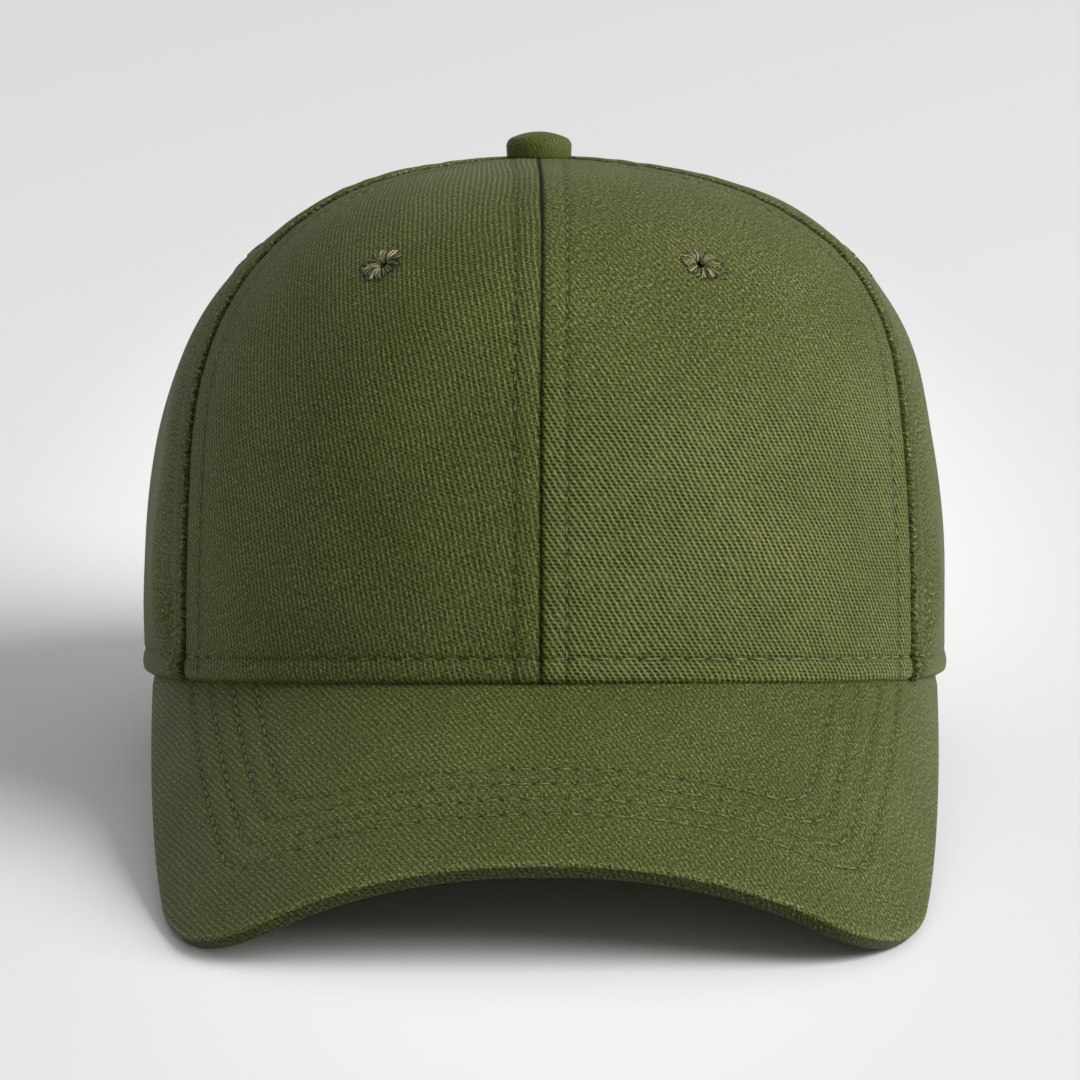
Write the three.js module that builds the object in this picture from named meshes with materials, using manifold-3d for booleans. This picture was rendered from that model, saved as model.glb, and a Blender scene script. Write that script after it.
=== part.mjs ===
// Six-panel cotton twill cap with a curved peak, a cloth-covered top button,
// stitched eyelets, an inner sweatband and a plain strap across the back opening.
//
// Millimetres. The crown is drawn in its own frame: origin at the middle of the rim,
// +X to the right of someone who faces the cap, +Y to the back, +Z up. The whole cap
// then leans back until the two corners of the peak and the strap stand on Z = 0.

import * as THREE from 'three';
import { mergeVertices } from 'three/addons/utils/BufferGeometryUtils.js';
import Module from 'manifold-3d';

// Crown
const CROWN_HALF_WIDTH = 85.6;
const CROWN_FRONT_REACH = 98;
const CROWN_BACK_REACH = 92;
const CROWN_HEIGHT = 106;
const RIM_DROP = 3.4;                 // the rim at the sides and back is lower than at the front
const ROUNDNESS_FRONT = 2.45;         // exponent of the upright section, 2 is an ellipse
const ROUNDNESS_SIDE = 2.58;
const ROUNDNESS_BACK = 2.15;
const SHOULDER = 0.813;               // below 1 the walls stay upright for longer
const CLOTH = 1.6;                    // folded seams and backing included
const GAP = 0.3;                      // between sewn pieces
const CROWN_TOP_CLIMB = 88.2;         // degrees, where the panels stop under the button
const FRONT_SEAM = 62.4;              // degrees from the middle of the front, at the rim
const BACK_SEAM = 121;
const SEAM_SWELL = 8.5;               // degrees that the front seams bow out at mid height
const PANELS = [
  { name: 'panel_front_right', from: 0, to: FRONT_SEAM },
  { name: 'panel_side_right', from: FRONT_SEAM, to: BACK_SEAM },
  { name: 'panel_back_right', from: BACK_SEAM, to: 180 },
  { name: 'panel_back_left', from: 180, to: 360 - BACK_SEAM },
  { name: 'panel_side_left', from: 360 - BACK_SEAM, to: 360 - FRONT_SEAM },
  { name: 'panel_front_left', from: 360 - FRONT_SEAM, to: 360 },
];
const PANEL_COLUMNS = 10;
const PANEL_ROWS = 14;

// Peak: a flat pattern bent over a section that follows the rim of the crown, just inside it
const PEAK_HALF_WIDTH = 84.5;
const PEAK_SLOPE = 29;                // degrees below the rim plane
const PEAK_LENGTH = 64;               // at the middle, along the slope
const PEAK_THICKNESS = 3.4;
const PEAK_END_ANGLE = 79;            // where its ends meet the rim, either side of the front
const PEAK_END_WIDTH = 1.6;
const PEAK_TUCK = 2.4;                // how far its inner edge goes under the crown
const PEAK_COLUMNS = 24;              // each side of the middle
const PEAK_ROWS = 7;
// Handles of the three curves of the outline: distance across, distance forward
const PEAK_FRONT_EDGE = [[0, PEAK_LENGTH], [20, 63.4], [40, 63.6], [56, 64.8]];
const PEAK_CORNER = [[56, 64.8], [67, 65.4], [78, 58.4], [83.8, 39]];
const PEAK_SIDE = [[83.8, 39], [88.4, 20], [94.8, -22], [100, -66]];

// Button
const BUTTON_RADIUS = 7;
const BUTTON_EDGE = 3.6;
const BUTTON_DOME = 2.1;
const BUTTON_STEM_RADIUS = 1.7;
const BUTTON_STEM = 3.2;

// Eyelets, one on the middle line of each panel
const EYELET_CLIMB = 46.5;            // degrees
const EYELET_RADIUS = 4.7;
const EYELET_HOLE = 1.1;
const EYELET_BARREL = 2.3;
const EYELET_RISE = 0.6;
const EYELET_SIDES = 12;

// Sweatband and back strap share the layer inside the cloth
const BAND_LIFT = 2.4;                // its lower edge above the rim
const BAND_HEIGHT = 31;
const BAND_THICKNESS = 1.2;
const STRAP_HEIGHT = 23;
const STRAP_HANG = 0.4;               // its lower edge below the rim
const STRAP_THICKNESS = 1.6;
const STRAP_HALF_ANGLE = 33;          // degrees either side of the back
const BAND_END_ANGLE = 34.2;
const BAND_COLUMNS = 44;
const STRAP_COLUMNS = 14;

// Opening above the strap
const ARCH_HALF_WIDTH = 38;
const ARCH_STRAIGHT = 8;
const ARCH_ROUND = 36;

// How the cap stands
const REST_TILT = 11.74;              // degrees
const REST_SINK = 0.45;               // cloth pressed flat where it stands

const OLIVE = new THREE.MeshStandardMaterial({ color: 0x555f38, roughness: 0.92, metalness: 0 });
const OLIVE_PEAK = new THREE.MeshStandardMaterial({ color: 0x525c35, roughness: 0.92, metalness: 0 });
const OLIVE_THREAD = new THREE.MeshStandardMaterial({ color: 0x646d45, roughness: 0.8, metalness: 0 });
const OLIVE_BAND = new THREE.MeshStandardMaterial({ color: 0x4a532f, roughness: 0.9, metalness: 0 });

const wasm = await Module();
wasm.setup();

const rad = THREE.MathUtils.degToRad;
const TILT = rad(REST_TILT);
const SLOPE = rad(PEAK_SLOPE);

// Crown surface
// theta turns round the cap from the middle of the front, climb goes from 0 at the rim
// to a right angle at the top, and inset moves a point in through the cloth.

function rimHeight(theta) {
  const s = Math.sin(theta);
  return Math.cos(theta) > 0 ? -RIM_DROP * s * s : -RIM_DROP;
}

function outerCrownPoint(theta, climb) {
  const c = Math.cos(theta);
  const end = c > 0 ? ROUNDNESS_FRONT : ROUNDNESS_BACK;
  const n = ROUNDNESS_SIDE + (end - ROUNDNESS_SIDE) * c * c;
  const along = Math.max(Math.cos(climb), 0);
  const r = (along ** n + Math.sin(climb) ** n) ** (-1 / n);
  const out = along * r;
  const up = (Math.sin(climb) * r) ** SHOULDER;
  const reach = c > 0 ? CROWN_FRONT_REACH : CROWN_BACK_REACH;
  const rim = rimHeight(theta);
  return new THREE.Vector3(
    CROWN_HALF_WIDTH * Math.sin(theta) * out,
    -reach * c * out,
    rim * (1 - up) + CROWN_HEIGHT * up,
  );
}

function crownNormal(theta, climb) {
  const step = 1e-3;
  const low = Math.max(climb - step, 0);
  const across = outerCrownPoint(theta + step, climb).sub(outerCrownPoint(theta - step, climb));
  const upward = outerCrownPoint(theta, low + 2 * step).sub(outerCrownPoint(theta, low));
  return across.cross(upward).normalize();
}

function crownPoint(theta, climb, inset = 0) {
  return outerCrownPoint(theta, climb).addScaledVector(crownNormal(theta, climb), -inset);
}

// The angle at which the crown is a given height above the rim
function climbAtHeight(theta, height) {
  const rim = rimHeight(theta);
  let low = 0;
  let high = Math.PI / 2;
  for (let i = 0; i < 30; i += 1) {
    const middle = (low + high) / 2;
    if (outerCrownPoint(theta, middle).z - rim < height) low = middle;
    else high = middle;
  }
  return (low + high) / 2;
}

// Peak surface
// Every lengthwise line of the peak starts at the rim and runs down the slope, so its
// cross-section is the rim seen along the slope. The table gives that section's length.

function rimSection(theta) {
  const back = CROWN_FRONT_REACH * (1 - Math.cos(theta));
  const rim = rimHeight(theta);
  return {
    x: PEAK_HALF_WIDTH * Math.sin(theta),
    sag: back * Math.sin(SLOPE) - rim * Math.cos(SLOPE),
    forward: -back * Math.cos(SLOPE) - rim * Math.sin(SLOPE),
  };
}

const SECTION_STEPS = 176;
const SECTION = [{ length: 0, ...rimSection(0) }];
for (let i = 1; i <= SECTION_STEPS; i += 1) {
  const here = rimSection(rad(88) * i / SECTION_STEPS);
  const last = SECTION[i - 1];
  SECTION.push({ length: last.length + Math.hypot(here.x - last.x, here.sag - last.sag), ...here });
}

function sectionAt(across) {
  const distance = Math.abs(across);
  let i = 1;
  while (i < SECTION_STEPS && SECTION[i].length < distance) i += 1;
  const a = SECTION[i - 1];
  const b = SECTION[i];
  const part = (distance - a.length) / (b.length - a.length);
  const steep = Math.atan2(b.sag - a.sag, b.x - a.x);
  return {
    x: a.x + (b.x - a.x) * part,
    sag: a.sag + (b.sag - a.sag) * part,
    sin: Math.sin(steep),
    cos: Math.cos(steep),
  };
}

function peakPoint(across, forward, depth) {
  const { x, sag, sin, cos } = sectionAt(across);
  const side = Math.sign(across) || 1;
  const drop = sag + depth * cos;
  return new THREE.Vector3(
    side * (x - depth * sin),
    -CROWN_FRONT_REACH - forward * Math.cos(SLOPE) + drop * Math.sin(SLOPE),
    -forward * Math.sin(SLOPE) - drop * Math.cos(SLOPE),
  );
}

function lengthAtAngle(theta) {
  const i = Math.abs(theta) / rad(88) * SECTION_STEPS;
  const low = Math.min(Math.floor(i), SECTION_STEPS - 1);
  const part = i - low;
  return SECTION[low].length * (1 - part) + SECTION[low + 1].length * part;
}

const peakOutline = new THREE.CurvePath();
for (const handles of [PEAK_FRONT_EDGE, PEAK_CORNER, PEAK_SIDE]) {
  peakOutline.add(new THREE.CubicBezierCurve(...handles.map(([x, y]) => new THREE.Vector2(x, y))));
}

// Solids

// Height of a point in the crown's frame above the surface that the cap stands on
const tableNormal = new THREE.Vector3(0, -Math.sin(TILT), Math.cos(TILT));
let tableLevel = -Infinity;

function pressFlat(point) {
  const above = point.dot(tableNormal) - tableLevel;
  return above < 0 ? point.addScaledVector(tableNormal, -above) : point;
}

function geometryFrom(points, faces) {
  const geometry = new THREE.BufferGeometry();
  const numbers = points.flatMap((point) => point.toArray());
  geometry.setAttribute('position', new THREE.Float32BufferAttribute(numbers, 3));
  geometry.setIndex(faces.flat());
  return geometry;
}

// A sheet of cloth: a grid of points on its outer side and one on its inner side, closed
// round its four edges. outer(i, j) and inner(i, j) take a column and a row. Seen from
// outside, columns run to the left or right and rows run up; turned says they run left.
function closedSheet(columns, rows, outer, inner, turned = false) {
  const points = [];
  const faces = [];
  const stride = rows + 1;
  const skin = (columns + 1) * stride;
  for (const side of [outer, inner]) {
    for (let i = 0; i <= columns; i += 1) {
      for (let j = 0; j <= rows; j += 1) points.push(pressFlat(side(i, j)));
    }
  }
  const quad = (a, b, c, d) => {
    if (turned) faces.push([c, b, a], [d, c, a]);
    else faces.push([a, b, c], [a, c, d]);
  };
  const at = (i, j) => i * stride + j;
  for (let i = 0; i < columns; i += 1) {
    for (let j = 0; j < rows; j += 1) {
      quad(at(i, j), at(i + 1, j), at(i + 1, j + 1), at(i, j + 1));
      quad(skin + at(i, j), skin + at(i, j + 1), skin + at(i + 1, j + 1), skin + at(i + 1, j));
    }
    quad(at(i, 0), skin + at(i, 0), skin + at(i + 1, 0), at(i + 1, 0));
    quad(at(i, rows), at(i + 1, rows), skin + at(i + 1, rows), skin + at(i, rows));
  }
  for (let j = 0; j < rows; j += 1) {
    quad(at(0, j), at(0, j + 1), skin + at(0, j + 1), skin + at(0, j));
    quad(at(columns, j), skin + at(columns, j), skin + at(columns, j + 1), at(columns, j + 1));
  }
  return geometryFrom(points, faces);
}

function toSolid(geometry) {
  const bare = geometry.clone();
  bare.deleteAttribute('normal');
  bare.deleteAttribute('uv');
  const merged = mergeVertices(bare);
  return new wasm.Manifold(new wasm.Mesh({
    numProp: 3,
    vertProperties: new Float32Array(merged.attributes.position.array),
    triVerts: new Uint32Array(merged.index.array),
  }));
}

function fromSolid(solid) {
  const mesh = solid.getMesh();
  const geometry = new THREE.BufferGeometry();
  geometry.setAttribute('position', new THREE.Float32BufferAttribute(mesh.vertProperties, 3));
  geometry.setIndex(Array.from(mesh.triVerts));
  return geometry;
}

function named(name, geometry, material) {
  geometry.computeVertexNormals();
  const mesh = new THREE.Mesh(geometry, material);
  mesh.name = name;
  return mesh;
}

// Where a seam runs at a given climb: straight up, but the two front ones bow to the sides
function seamTheta(angle, climb) {
  const swell = rad(SEAM_SWELL) * Math.sin(2 * climb) ** 4;
  if (angle === FRONT_SEAM) return rad(angle) + swell;
  if (angle === 360 - FRONT_SEAM) return rad(angle) - swell;
  return rad(angle);
}

// A gore from the rim to the button, a hair narrower than the room between its seams
function panelGeometry({ from, to }) {
  const top = rad(CROWN_TOP_CLIMB);
  const place = (i, j, inset) => {
    const climb = top * j / PANEL_ROWS;
    const share = i / PANEL_COLUMNS;
    const start = seamTheta(from, climb);
    const end = seamTheta(to, climb);
    const flat = outerCrownPoint(start + (end - start) * share, climb);
    const trim = GAP / 2 / Math.hypot(flat.x, flat.y);
    const theta = (start + trim) * (1 - share) + (end - trim) * share;
    return crownPoint(theta, climb, inset);
  };
  return closedSheet(PANEL_COLUMNS, PANEL_ROWS, (i, j) => place(i, j, 0), (i, j) => place(i, j, CLOTH));
}

// The peak, or with spare above 0 the room that it needs inside the crown's lower edge
function peakGeometry(spare = 0) {
  const place = (i, j, depth) => {
    const turn = (i - PEAK_COLUMNS) / PEAK_COLUMNS;
    const side = Math.sign(turn) || 1;
    const theta = Math.abs(turn) * rad(PEAK_END_ANGLE);
    const start = lengthAtAngle(theta);
    const rim = rimSection(theta).forward - PEAK_TUCK * Math.cos(theta) - spare;
    const edge = peakOutline.getPointAt(Math.abs(turn));
    const share = j / PEAK_ROWS;
    const endWidth = PEAK_END_WIDTH * Math.abs(turn) ** 6;
    const across = start + (Math.max(edge.x, start + endWidth) - start) * share;
    const forward = rim + (edge.y - rim) * share;
    return peakPoint(side * across, forward, depth);
  };
  const top = (i, j) => place(i, j, GAP - spare);
  const underside = (i, j) => place(i, j, GAP + PEAK_THICKNESS);
  return closedSheet(2 * PEAK_COLUMNS, PEAK_ROWS, top, underside, true);
}

// A band in the layer inside the cloth, between two angles and two heights
function bandGeometry(from, to, columns, lift, height, thickness) {
  const rows = 2;
  const place = (i, j, inset) => {
    const theta = rad(from + (to - from) * i / columns);
    const level = lift + height * j / rows;
    const climb = climbAtHeight(theta, Math.max(level, 0));
    const point = crownPoint(theta, climb, inset);
    point.z += Math.min(level, 0);
    return point;
  };
  const outer = (i, j) => place(i, j, CLOTH + GAP);
  const inner = (i, j) => place(i, j, CLOTH + GAP + thickness);
  return closedSheet(columns, rows, outer, inner);
}

function buttonGeometry() {
  const height = BUTTON_EDGE + BUTTON_DOME;
  const shoulder = BUTTON_EDGE + BUTTON_DOME * 0.2;
  const profile = new THREE.Path();
  profile.moveTo(0, -BUTTON_STEM);
  profile.lineTo(BUTTON_STEM_RADIUS, -BUTTON_STEM);
  profile.lineTo(BUTTON_STEM_RADIUS, 0);
  profile.lineTo(BUTTON_RADIUS - 0.6, 0);
  profile.quadraticCurveTo(BUTTON_RADIUS, 0.3, BUTTON_RADIUS, BUTTON_EDGE * 0.5);
  profile.quadraticCurveTo(BUTTON_RADIUS, shoulder, BUTTON_RADIUS * 0.7, height - BUTTON_DOME * 0.38);
  profile.quadraticCurveTo(BUTTON_RADIUS * 0.4, height, 0, height);
  return new THREE.LatheGeometry(profile.getPoints(3), 20).rotateX(Math.PI / 2);
}

// A ring of thread on the outside with a short barrel through the cloth
function eyeletGeometry() {
  const foot = CLOTH + 0.2;
  const profile = [
    [EYELET_HOLE, -foot],
    [EYELET_BARREL, -foot],
    [EYELET_BARREL, GAP],
    [EYELET_RADIUS, GAP],
    [EYELET_RADIUS - 0.3, GAP + EYELET_RISE * 0.7],
    [EYELET_BARREL, GAP + EYELET_RISE],
    [EYELET_HOLE, GAP + EYELET_RISE * 0.5],
    [EYELET_HOLE, -foot],
  ].map(([r, h]) => new THREE.Vector2(r, h));
  return new THREE.LatheGeometry(profile, EYELET_SIDES).rotateX(Math.PI / 2);
}

function eyeletPlace({ from, to }) {
  const theta = rad((from + to) / 2);
  const climb = rad(EYELET_CLIMB);
  const outward = crownNormal(theta, climb);
  const turn = new THREE.Quaternion().setFromUnitVectors(new THREE.Vector3(0, 0, 1), outward);
  return { position: crownPoint(theta, climb), turn };
}

function eyeletHole(panel) {
  const { position, turn } = eyeletPlace(panel);
  const drill = new THREE.CylinderGeometry(EYELET_BARREL + GAP, EYELET_BARREL + GAP, 12, EYELET_SIDES);
  drill.rotateX(Math.PI / 2).applyQuaternion(turn).translate(position.x, position.y, position.z);
  return toSolid(drill);
}

function archSolid() {
  const arch = new THREE.Shape();
  const floor = -RIM_DROP - 10;
  const spring = -RIM_DROP + ARCH_STRAIGHT;
  arch.moveTo(ARCH_HALF_WIDTH, floor);
  arch.lineTo(ARCH_HALF_WIDTH, spring);
  arch.absellipse(0, spring, ARCH_HALF_WIDTH, ARCH_ROUND, 0, Math.PI, false);
  arch.lineTo(-ARCH_HALF_WIDTH, floor);
  const geometry = new THREE.ExtrudeGeometry(arch, { depth: 80, bevelEnabled: false, curveSegments: 16 });
  return toSolid(geometry.rotateX(Math.PI / 2).translate(0, 120, 0));
}

// Assembly

// The strap's lower edge and the underside of the peak's corners set the table's level
const strapFoot = crownPoint(Math.PI, 0, CLOTH + GAP);
strapFoot.z -= STRAP_HANG;
tableLevel = strapFoot.dot(tableNormal) + REST_SINK;

const crown = new THREE.Group();
const peakRoom = toSolid(peakGeometry(GAP + 0.05));
const arch = archSolid();
for (const panel of PANELS) {
  let solid = toSolid(panelGeometry(panel)).subtract(eyeletHole(panel));
  solid = solid.subtract(panel.name.startsWith('panel_back') ? arch : peakRoom);
  crown.add(named(panel.name, fromSolid(solid), OLIVE));

  const eyelet = named(panel.name.replace('panel', 'eyelet'), eyeletGeometry(), OLIVE_THREAD);
  const { position, turn } = eyeletPlace(panel);
  eyelet.position.copy(position);
  eyelet.quaternion.copy(turn);
  crown.add(eyelet);
}

const button = named('top_button', buttonGeometry(), OLIVE);
button.position.set(0, 0, CROWN_HEIGHT + GAP);
crown.add(button);

const bandEnd = 180 - BAND_END_ANGLE;
const band = bandGeometry(-bandEnd, bandEnd, BAND_COLUMNS, BAND_LIFT, BAND_HEIGHT, BAND_THICKNESS);
crown.add(named('sweatband', band, OLIVE_BAND));

const strapFrom = 180 - STRAP_HALF_ANGLE;
const strapTo = 180 + STRAP_HALF_ANGLE;
const strap = bandGeometry(strapFrom, strapTo, STRAP_COLUMNS, -STRAP_HANG, STRAP_HEIGHT, STRAP_THICKNESS);
crown.add(named('back_strap', strap, OLIVE));

crown.add(named('peak', peakGeometry(), OLIVE_PEAK));

// Lean the crown back and set the middle of its footprint on the origin
crown.rotation.x = -TILT;
const cap = new THREE.Group();
cap.name = 'six_panel_cap';
cap.add(crown);
cap.updateMatrixWorld(true);
const box = new THREE.Box3().setFromObject(crown, true);
cap.position.set(0, -(box.min.y + box.max.y) / 2, -box.min.z);
cap.updateMatrixWorld(true);

export default cap;
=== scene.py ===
# %% [markdown]
# # A six-panel cap in brushed cotton twill
#
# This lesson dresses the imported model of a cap. The model gives the solids: six
# panels, a peak, a button, six eyelets, a sweatband and a strap. They are right in
# size and place but plain. Here each soft solid gives way to cloth with seams,
# hems, puckers and stitches, and every surface gets its finish.
#
# The lengths of the cap are written in millimetres, as a cutter would, and one
# function turns them into Blender's metres at the very end.

import math

import bpy
import numpy as np
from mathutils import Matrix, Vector


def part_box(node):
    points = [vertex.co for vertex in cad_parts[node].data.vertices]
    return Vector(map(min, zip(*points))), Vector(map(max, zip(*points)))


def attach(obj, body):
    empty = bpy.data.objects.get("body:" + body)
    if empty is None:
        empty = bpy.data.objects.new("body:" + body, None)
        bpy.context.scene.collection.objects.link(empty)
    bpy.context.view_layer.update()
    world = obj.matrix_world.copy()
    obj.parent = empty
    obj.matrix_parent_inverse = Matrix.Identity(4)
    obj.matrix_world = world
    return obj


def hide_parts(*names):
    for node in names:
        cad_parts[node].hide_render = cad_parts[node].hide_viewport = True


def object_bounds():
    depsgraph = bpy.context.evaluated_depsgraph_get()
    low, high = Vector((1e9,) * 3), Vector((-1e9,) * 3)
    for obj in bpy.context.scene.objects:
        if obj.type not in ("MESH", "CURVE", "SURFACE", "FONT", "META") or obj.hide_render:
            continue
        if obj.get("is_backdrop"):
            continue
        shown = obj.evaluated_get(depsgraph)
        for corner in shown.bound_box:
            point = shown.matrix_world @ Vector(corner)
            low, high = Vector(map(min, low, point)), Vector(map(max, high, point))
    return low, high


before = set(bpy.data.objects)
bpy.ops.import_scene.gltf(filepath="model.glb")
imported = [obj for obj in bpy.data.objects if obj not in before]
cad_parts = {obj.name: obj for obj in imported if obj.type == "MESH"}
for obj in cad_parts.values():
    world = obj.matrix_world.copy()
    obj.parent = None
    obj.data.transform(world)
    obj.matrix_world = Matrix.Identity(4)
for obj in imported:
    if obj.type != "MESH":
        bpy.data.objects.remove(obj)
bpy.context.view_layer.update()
bpy.ops.object.select_all(action="DESELECT")

# %% [markdown]
# ## The crown as a surface
#
# The crown of a stiffened cap is close to a superellipsoid: straight walls that
# turn over into a round top. Two angles find any point on it. `theta` walks round
# the rim from the middle of the front, and `climb` goes from 0 at the rim to a
# right angle under the button. The front is a little squarer than the back.
#
# Nothing sewn is quite true. The seams sit a degree off their marks, the right
# shoulder is a little fuller than the left, and the button sits just left of
# the middle, so the same small errors are built in here.
#
# The cap leans back on the table, so the crown is worked out upright, in a frame
# of its own, and then leant back and lifted by one function.

# %% The crown's surface and the way to the room
HALF_WIDTH, FRONT_REACH, BACK_REACH, HEIGHT = 85.6, 98.0, 92.0, 106.0
RIM_DROP = 3.4
ROUND_SIDE, ROUND_FRONT, ROUND_BACK, SHOULDER = 2.58, 2.45, 2.15, 0.813
SEAMS = {"front": -0.6, "right": 63.4, "back_right": 121.0, "back": 180.0, "back_left": 239.0, "left": 298.9}
SEAM_SWELL = {"right": 7.6, "left": -10.0}

# From this height up the sides bulge, and the top sinks a little round the button and drifts left
SHOULDER_START = 45.0
SIDE_BULGE, BULGE_OUT = 11.5, 60.0
TOP_PINCH, PINCH_OUT, PINCH_WIDTH, TOP_DRIFT = 0.65, 26.0, 15.0, 1.3

# The lean, the rim's height over the table, and the middle of the peak's front edge
LEAN, RIM_LIFT = math.radians(11.74), 21.6
PEAK_FRONT = (-153.83, -31.29)
ORIGIN = np.array([0.0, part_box("peak")[0][1] * 1000, RIM_LIFT])
ORIGIN[1] -= PEAK_FRONT[0] * math.cos(LEAN) + PEAK_FRONT[1] * math.sin(LEAN)


def fade(value, start, full):
    """0 on the near side of start, 1 on the far side of full, and even between them."""
    return np.clip((value - start) / (full - start), 0, 1)


def to_room(points):
    """Crown millimetres to room metres, with whatever would go under the table pressed flat."""
    x, y, z = np.moveaxis(np.asarray(points, float), -1, 0)
    high = fade(z, SHOULDER_START, HEIGHT)
    z = z - TOP_PINCH * high**4 * np.exp(-(((np.hypot(x, y) - PINCH_OUT) / PINCH_WIDTH) ** 2))
    x = x + SIDE_BULGE * high**2 * (1 - high) * np.minimum((x / BULGE_OUT) ** 2, 1) - TOP_DRIFT * high**12
    back, up = y * math.cos(LEAN) + z * math.sin(LEAN), z * math.cos(LEAN) - y * math.sin(LEAN)
    room = np.stack([x, back, up], -1) + ORIGIN
    room[..., 2] = np.maximum(room[..., 2], 0.0)
    return room / 1000.0


def rim_height(theta):
    """The rim's height: highest in the middle of the front, and level round the back."""
    return np.where(np.cos(theta) > 0, -RIM_DROP * np.sin(theta) ** 2, -RIM_DROP)


def crown(theta, climb):
    """The point of the crown's outer surface at these two angles."""
    facing = np.cos(theta)
    power = ROUND_SIDE + (np.where(facing > 0, ROUND_FRONT, ROUND_BACK) - ROUND_SIDE) * facing * facing
    level, rise = np.maximum(np.cos(climb), 0.0), np.sin(climb)
    size = (level**power + rise**power) ** (-1.0 / power)
    out, up, rim = level * size, (rise * size) ** SHOULDER, rim_height(theta)
    reach = np.where(facing > 0, FRONT_REACH, BACK_REACH)
    x, y = HALF_WIDTH * np.sin(theta) * out, -reach * facing * out
    return np.stack([x, y, rim * (1 - up) + HEIGHT * up], -1)


def seam_theta(seam, climb):
    """Where a seam runs: straight up, but the two front ones bow towards the sides."""
    bow = math.radians(SEAM_SWELL.get(seam, 0.0)) * np.sin(2 * np.asarray(climb, float)) ** 4
    return math.radians(SEAMS[seam]) + bow


def unit(vectors):
    """The same directions, one long."""
    return vectors / np.maximum(np.linalg.norm(vectors, axis=-1, keepdims=True), 1e-12)


def crown_normal(theta, climb):
    """The crown's outward normal, from small steps across and up its surface."""
    step = 2e-3
    low = np.maximum(climb - step, 0.0)
    across = crown(theta + step, climb) - crown(theta - step, climb)
    upward = crown(theta, low + 2 * step) - crown(theta, low)
    return unit(np.cross(across, upward))


top = to_room(crown(np.array(0.0), np.array(math.pi / 2)))

# %% [markdown]
# ## From a flat grid to cloth
#
# Every piece of cloth here starts as Blender's grid primitive, the flat cut piece.
# Its vertices are then moved to where the cloth goes, in one step, because a seam
# or a stitch line needs a few tenths of a millimetre and no hand can drag 20,000
# vertices that evenly. The grid keeps a UV map called `cloth`, laid out in
# millimetres along and across the twill ribs, so the weave always runs the way the
# piece was cut.

# %% Helpers for cloth
def activate(piece):
    """Selects this piece alone, as operators act on all that is selected."""
    bpy.ops.object.select_all(action="DESELECT")
    piece.select_set(True)
    bpy.context.view_layer.objects.active = piece


def cloth_grid(name, columns, rows):
    """A grid with its vertices at whole numbers, and those numbers as two arrays."""
    bpy.ops.object.select_all(action="DESELECT")
    bpy.ops.mesh.primitive_grid_add(x_subdivisions=columns, y_subdivisions=rows, size=1.0)
    piece = bpy.context.active_object
    piece.name = piece.data.name = name
    co = np.empty(len(piece.data.vertices) * 3, np.float32)
    piece.data.vertices.foreach_get("co", co)
    co = co.reshape(-1, 3)
    column, row = (co[:, 0] + 0.5) * columns, (co[:, 1] + 0.5) * rows
    return piece, np.rint(column).astype(int), np.rint(row).astype(int)


def set_values(piece, title, values):
    """Gives each vertex of a piece a number, which its material reads by this title."""
    attribute = piece.data.attributes.new(title, "FLOAT", "POINT")
    attribute.data.foreach_set("value", values.astype(np.float32))


def place(piece, points, flat, rib_angle, lighten_and_shade=0.0, ribbed=1.0):
    """Moves the grid's vertices and lays the cloth map. flat is across and along the cut piece, in mm.

    The tone shift makes the cloth paler or darker: paler on raised edges, and darker with painted shade in
    grooves, stitch lines and under the peak's edge. ribbed says how strongly the ribs of the twill stand
    out.
    """
    mesh = piece.data
    mesh.vertices.foreach_set("co", to_room(points).astype(np.float32).ravel())
    slant = math.radians(rib_angle)
    across = flat[:, 0] * math.sin(slant) + flat[:, 1] * math.cos(slant)
    along_ribs = flat[:, 0] * math.cos(slant) - flat[:, 1] * math.sin(slant)
    corners = np.empty(len(mesh.loops), np.int32)
    mesh.loops.foreach_get("vertex_index", corners)
    while mesh.uv_layers:
        mesh.uv_layers.remove(mesh.uv_layers[0])
    layer = mesh.uv_layers.new(name="cloth")
    layer.uv.foreach_set("vector", np.stack([across, along_ribs], 1)[corners].astype(np.float32).ravel())
    set_values(piece, "lightened_and_shaded", np.zeros(len(points)) + lighten_and_shade)
    set_values(piece, "ribbed", np.zeros(len(points)) + ribbed)
    mesh.update()


def thicken(piece, thickness):
    """Gives the cloth its thickness in mm, on the inner side."""
    activate(piece)
    modifier = piece.modifiers.new("Solidify", "SOLIDIFY")
    modifier.thickness, modifier.offset, modifier.use_even_offset = thickness / 1000, -1.0, False
    bpy.ops.object.modifier_apply(modifier=modifier.name)


def face_corners(piece):
    """The four corners of each face of a grid, as numbers of its vertices."""
    return np.array([face.vertices for face in piece.data.polygons])


def delete_faces(piece, chosen):
    """Deletes the faces for which chosen is true."""
    activate(piece)
    bpy.ops.object.mode_set(mode="EDIT")
    bpy.ops.mesh.select_all(action="DESELECT")
    bpy.ops.mesh.select_mode(type="FACE")
    bpy.ops.object.mode_set(mode="OBJECT")
    piece.data.polygons.foreach_set("select", chosen)
    bpy.ops.object.mode_set(mode="EDIT")
    bpy.ops.mesh.delete(type="FACE")
    bpy.ops.object.mode_set(mode="OBJECT")


def finish_piece(piece, material, slot, *nodes):
    """Smooth shading, one material, its body, and the CAD nodes that it stands for. slot is not used."""
    activate(piece)
    bpy.ops.object.shade_smooth_by_angle(angle=math.radians(50))
    piece.data.materials.clear()
    piece.data.materials.append(material)
    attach(piece, "root")
    if nodes:
        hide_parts(*nodes)
    print(piece.name, len(piece.data.polygons), "faces")


def bump_at(distance, middle, width):
    """A smooth bump, 1 high, for relief and wear along a line."""
    return np.exp(-(((distance - middle) / width) ** 2))


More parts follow.
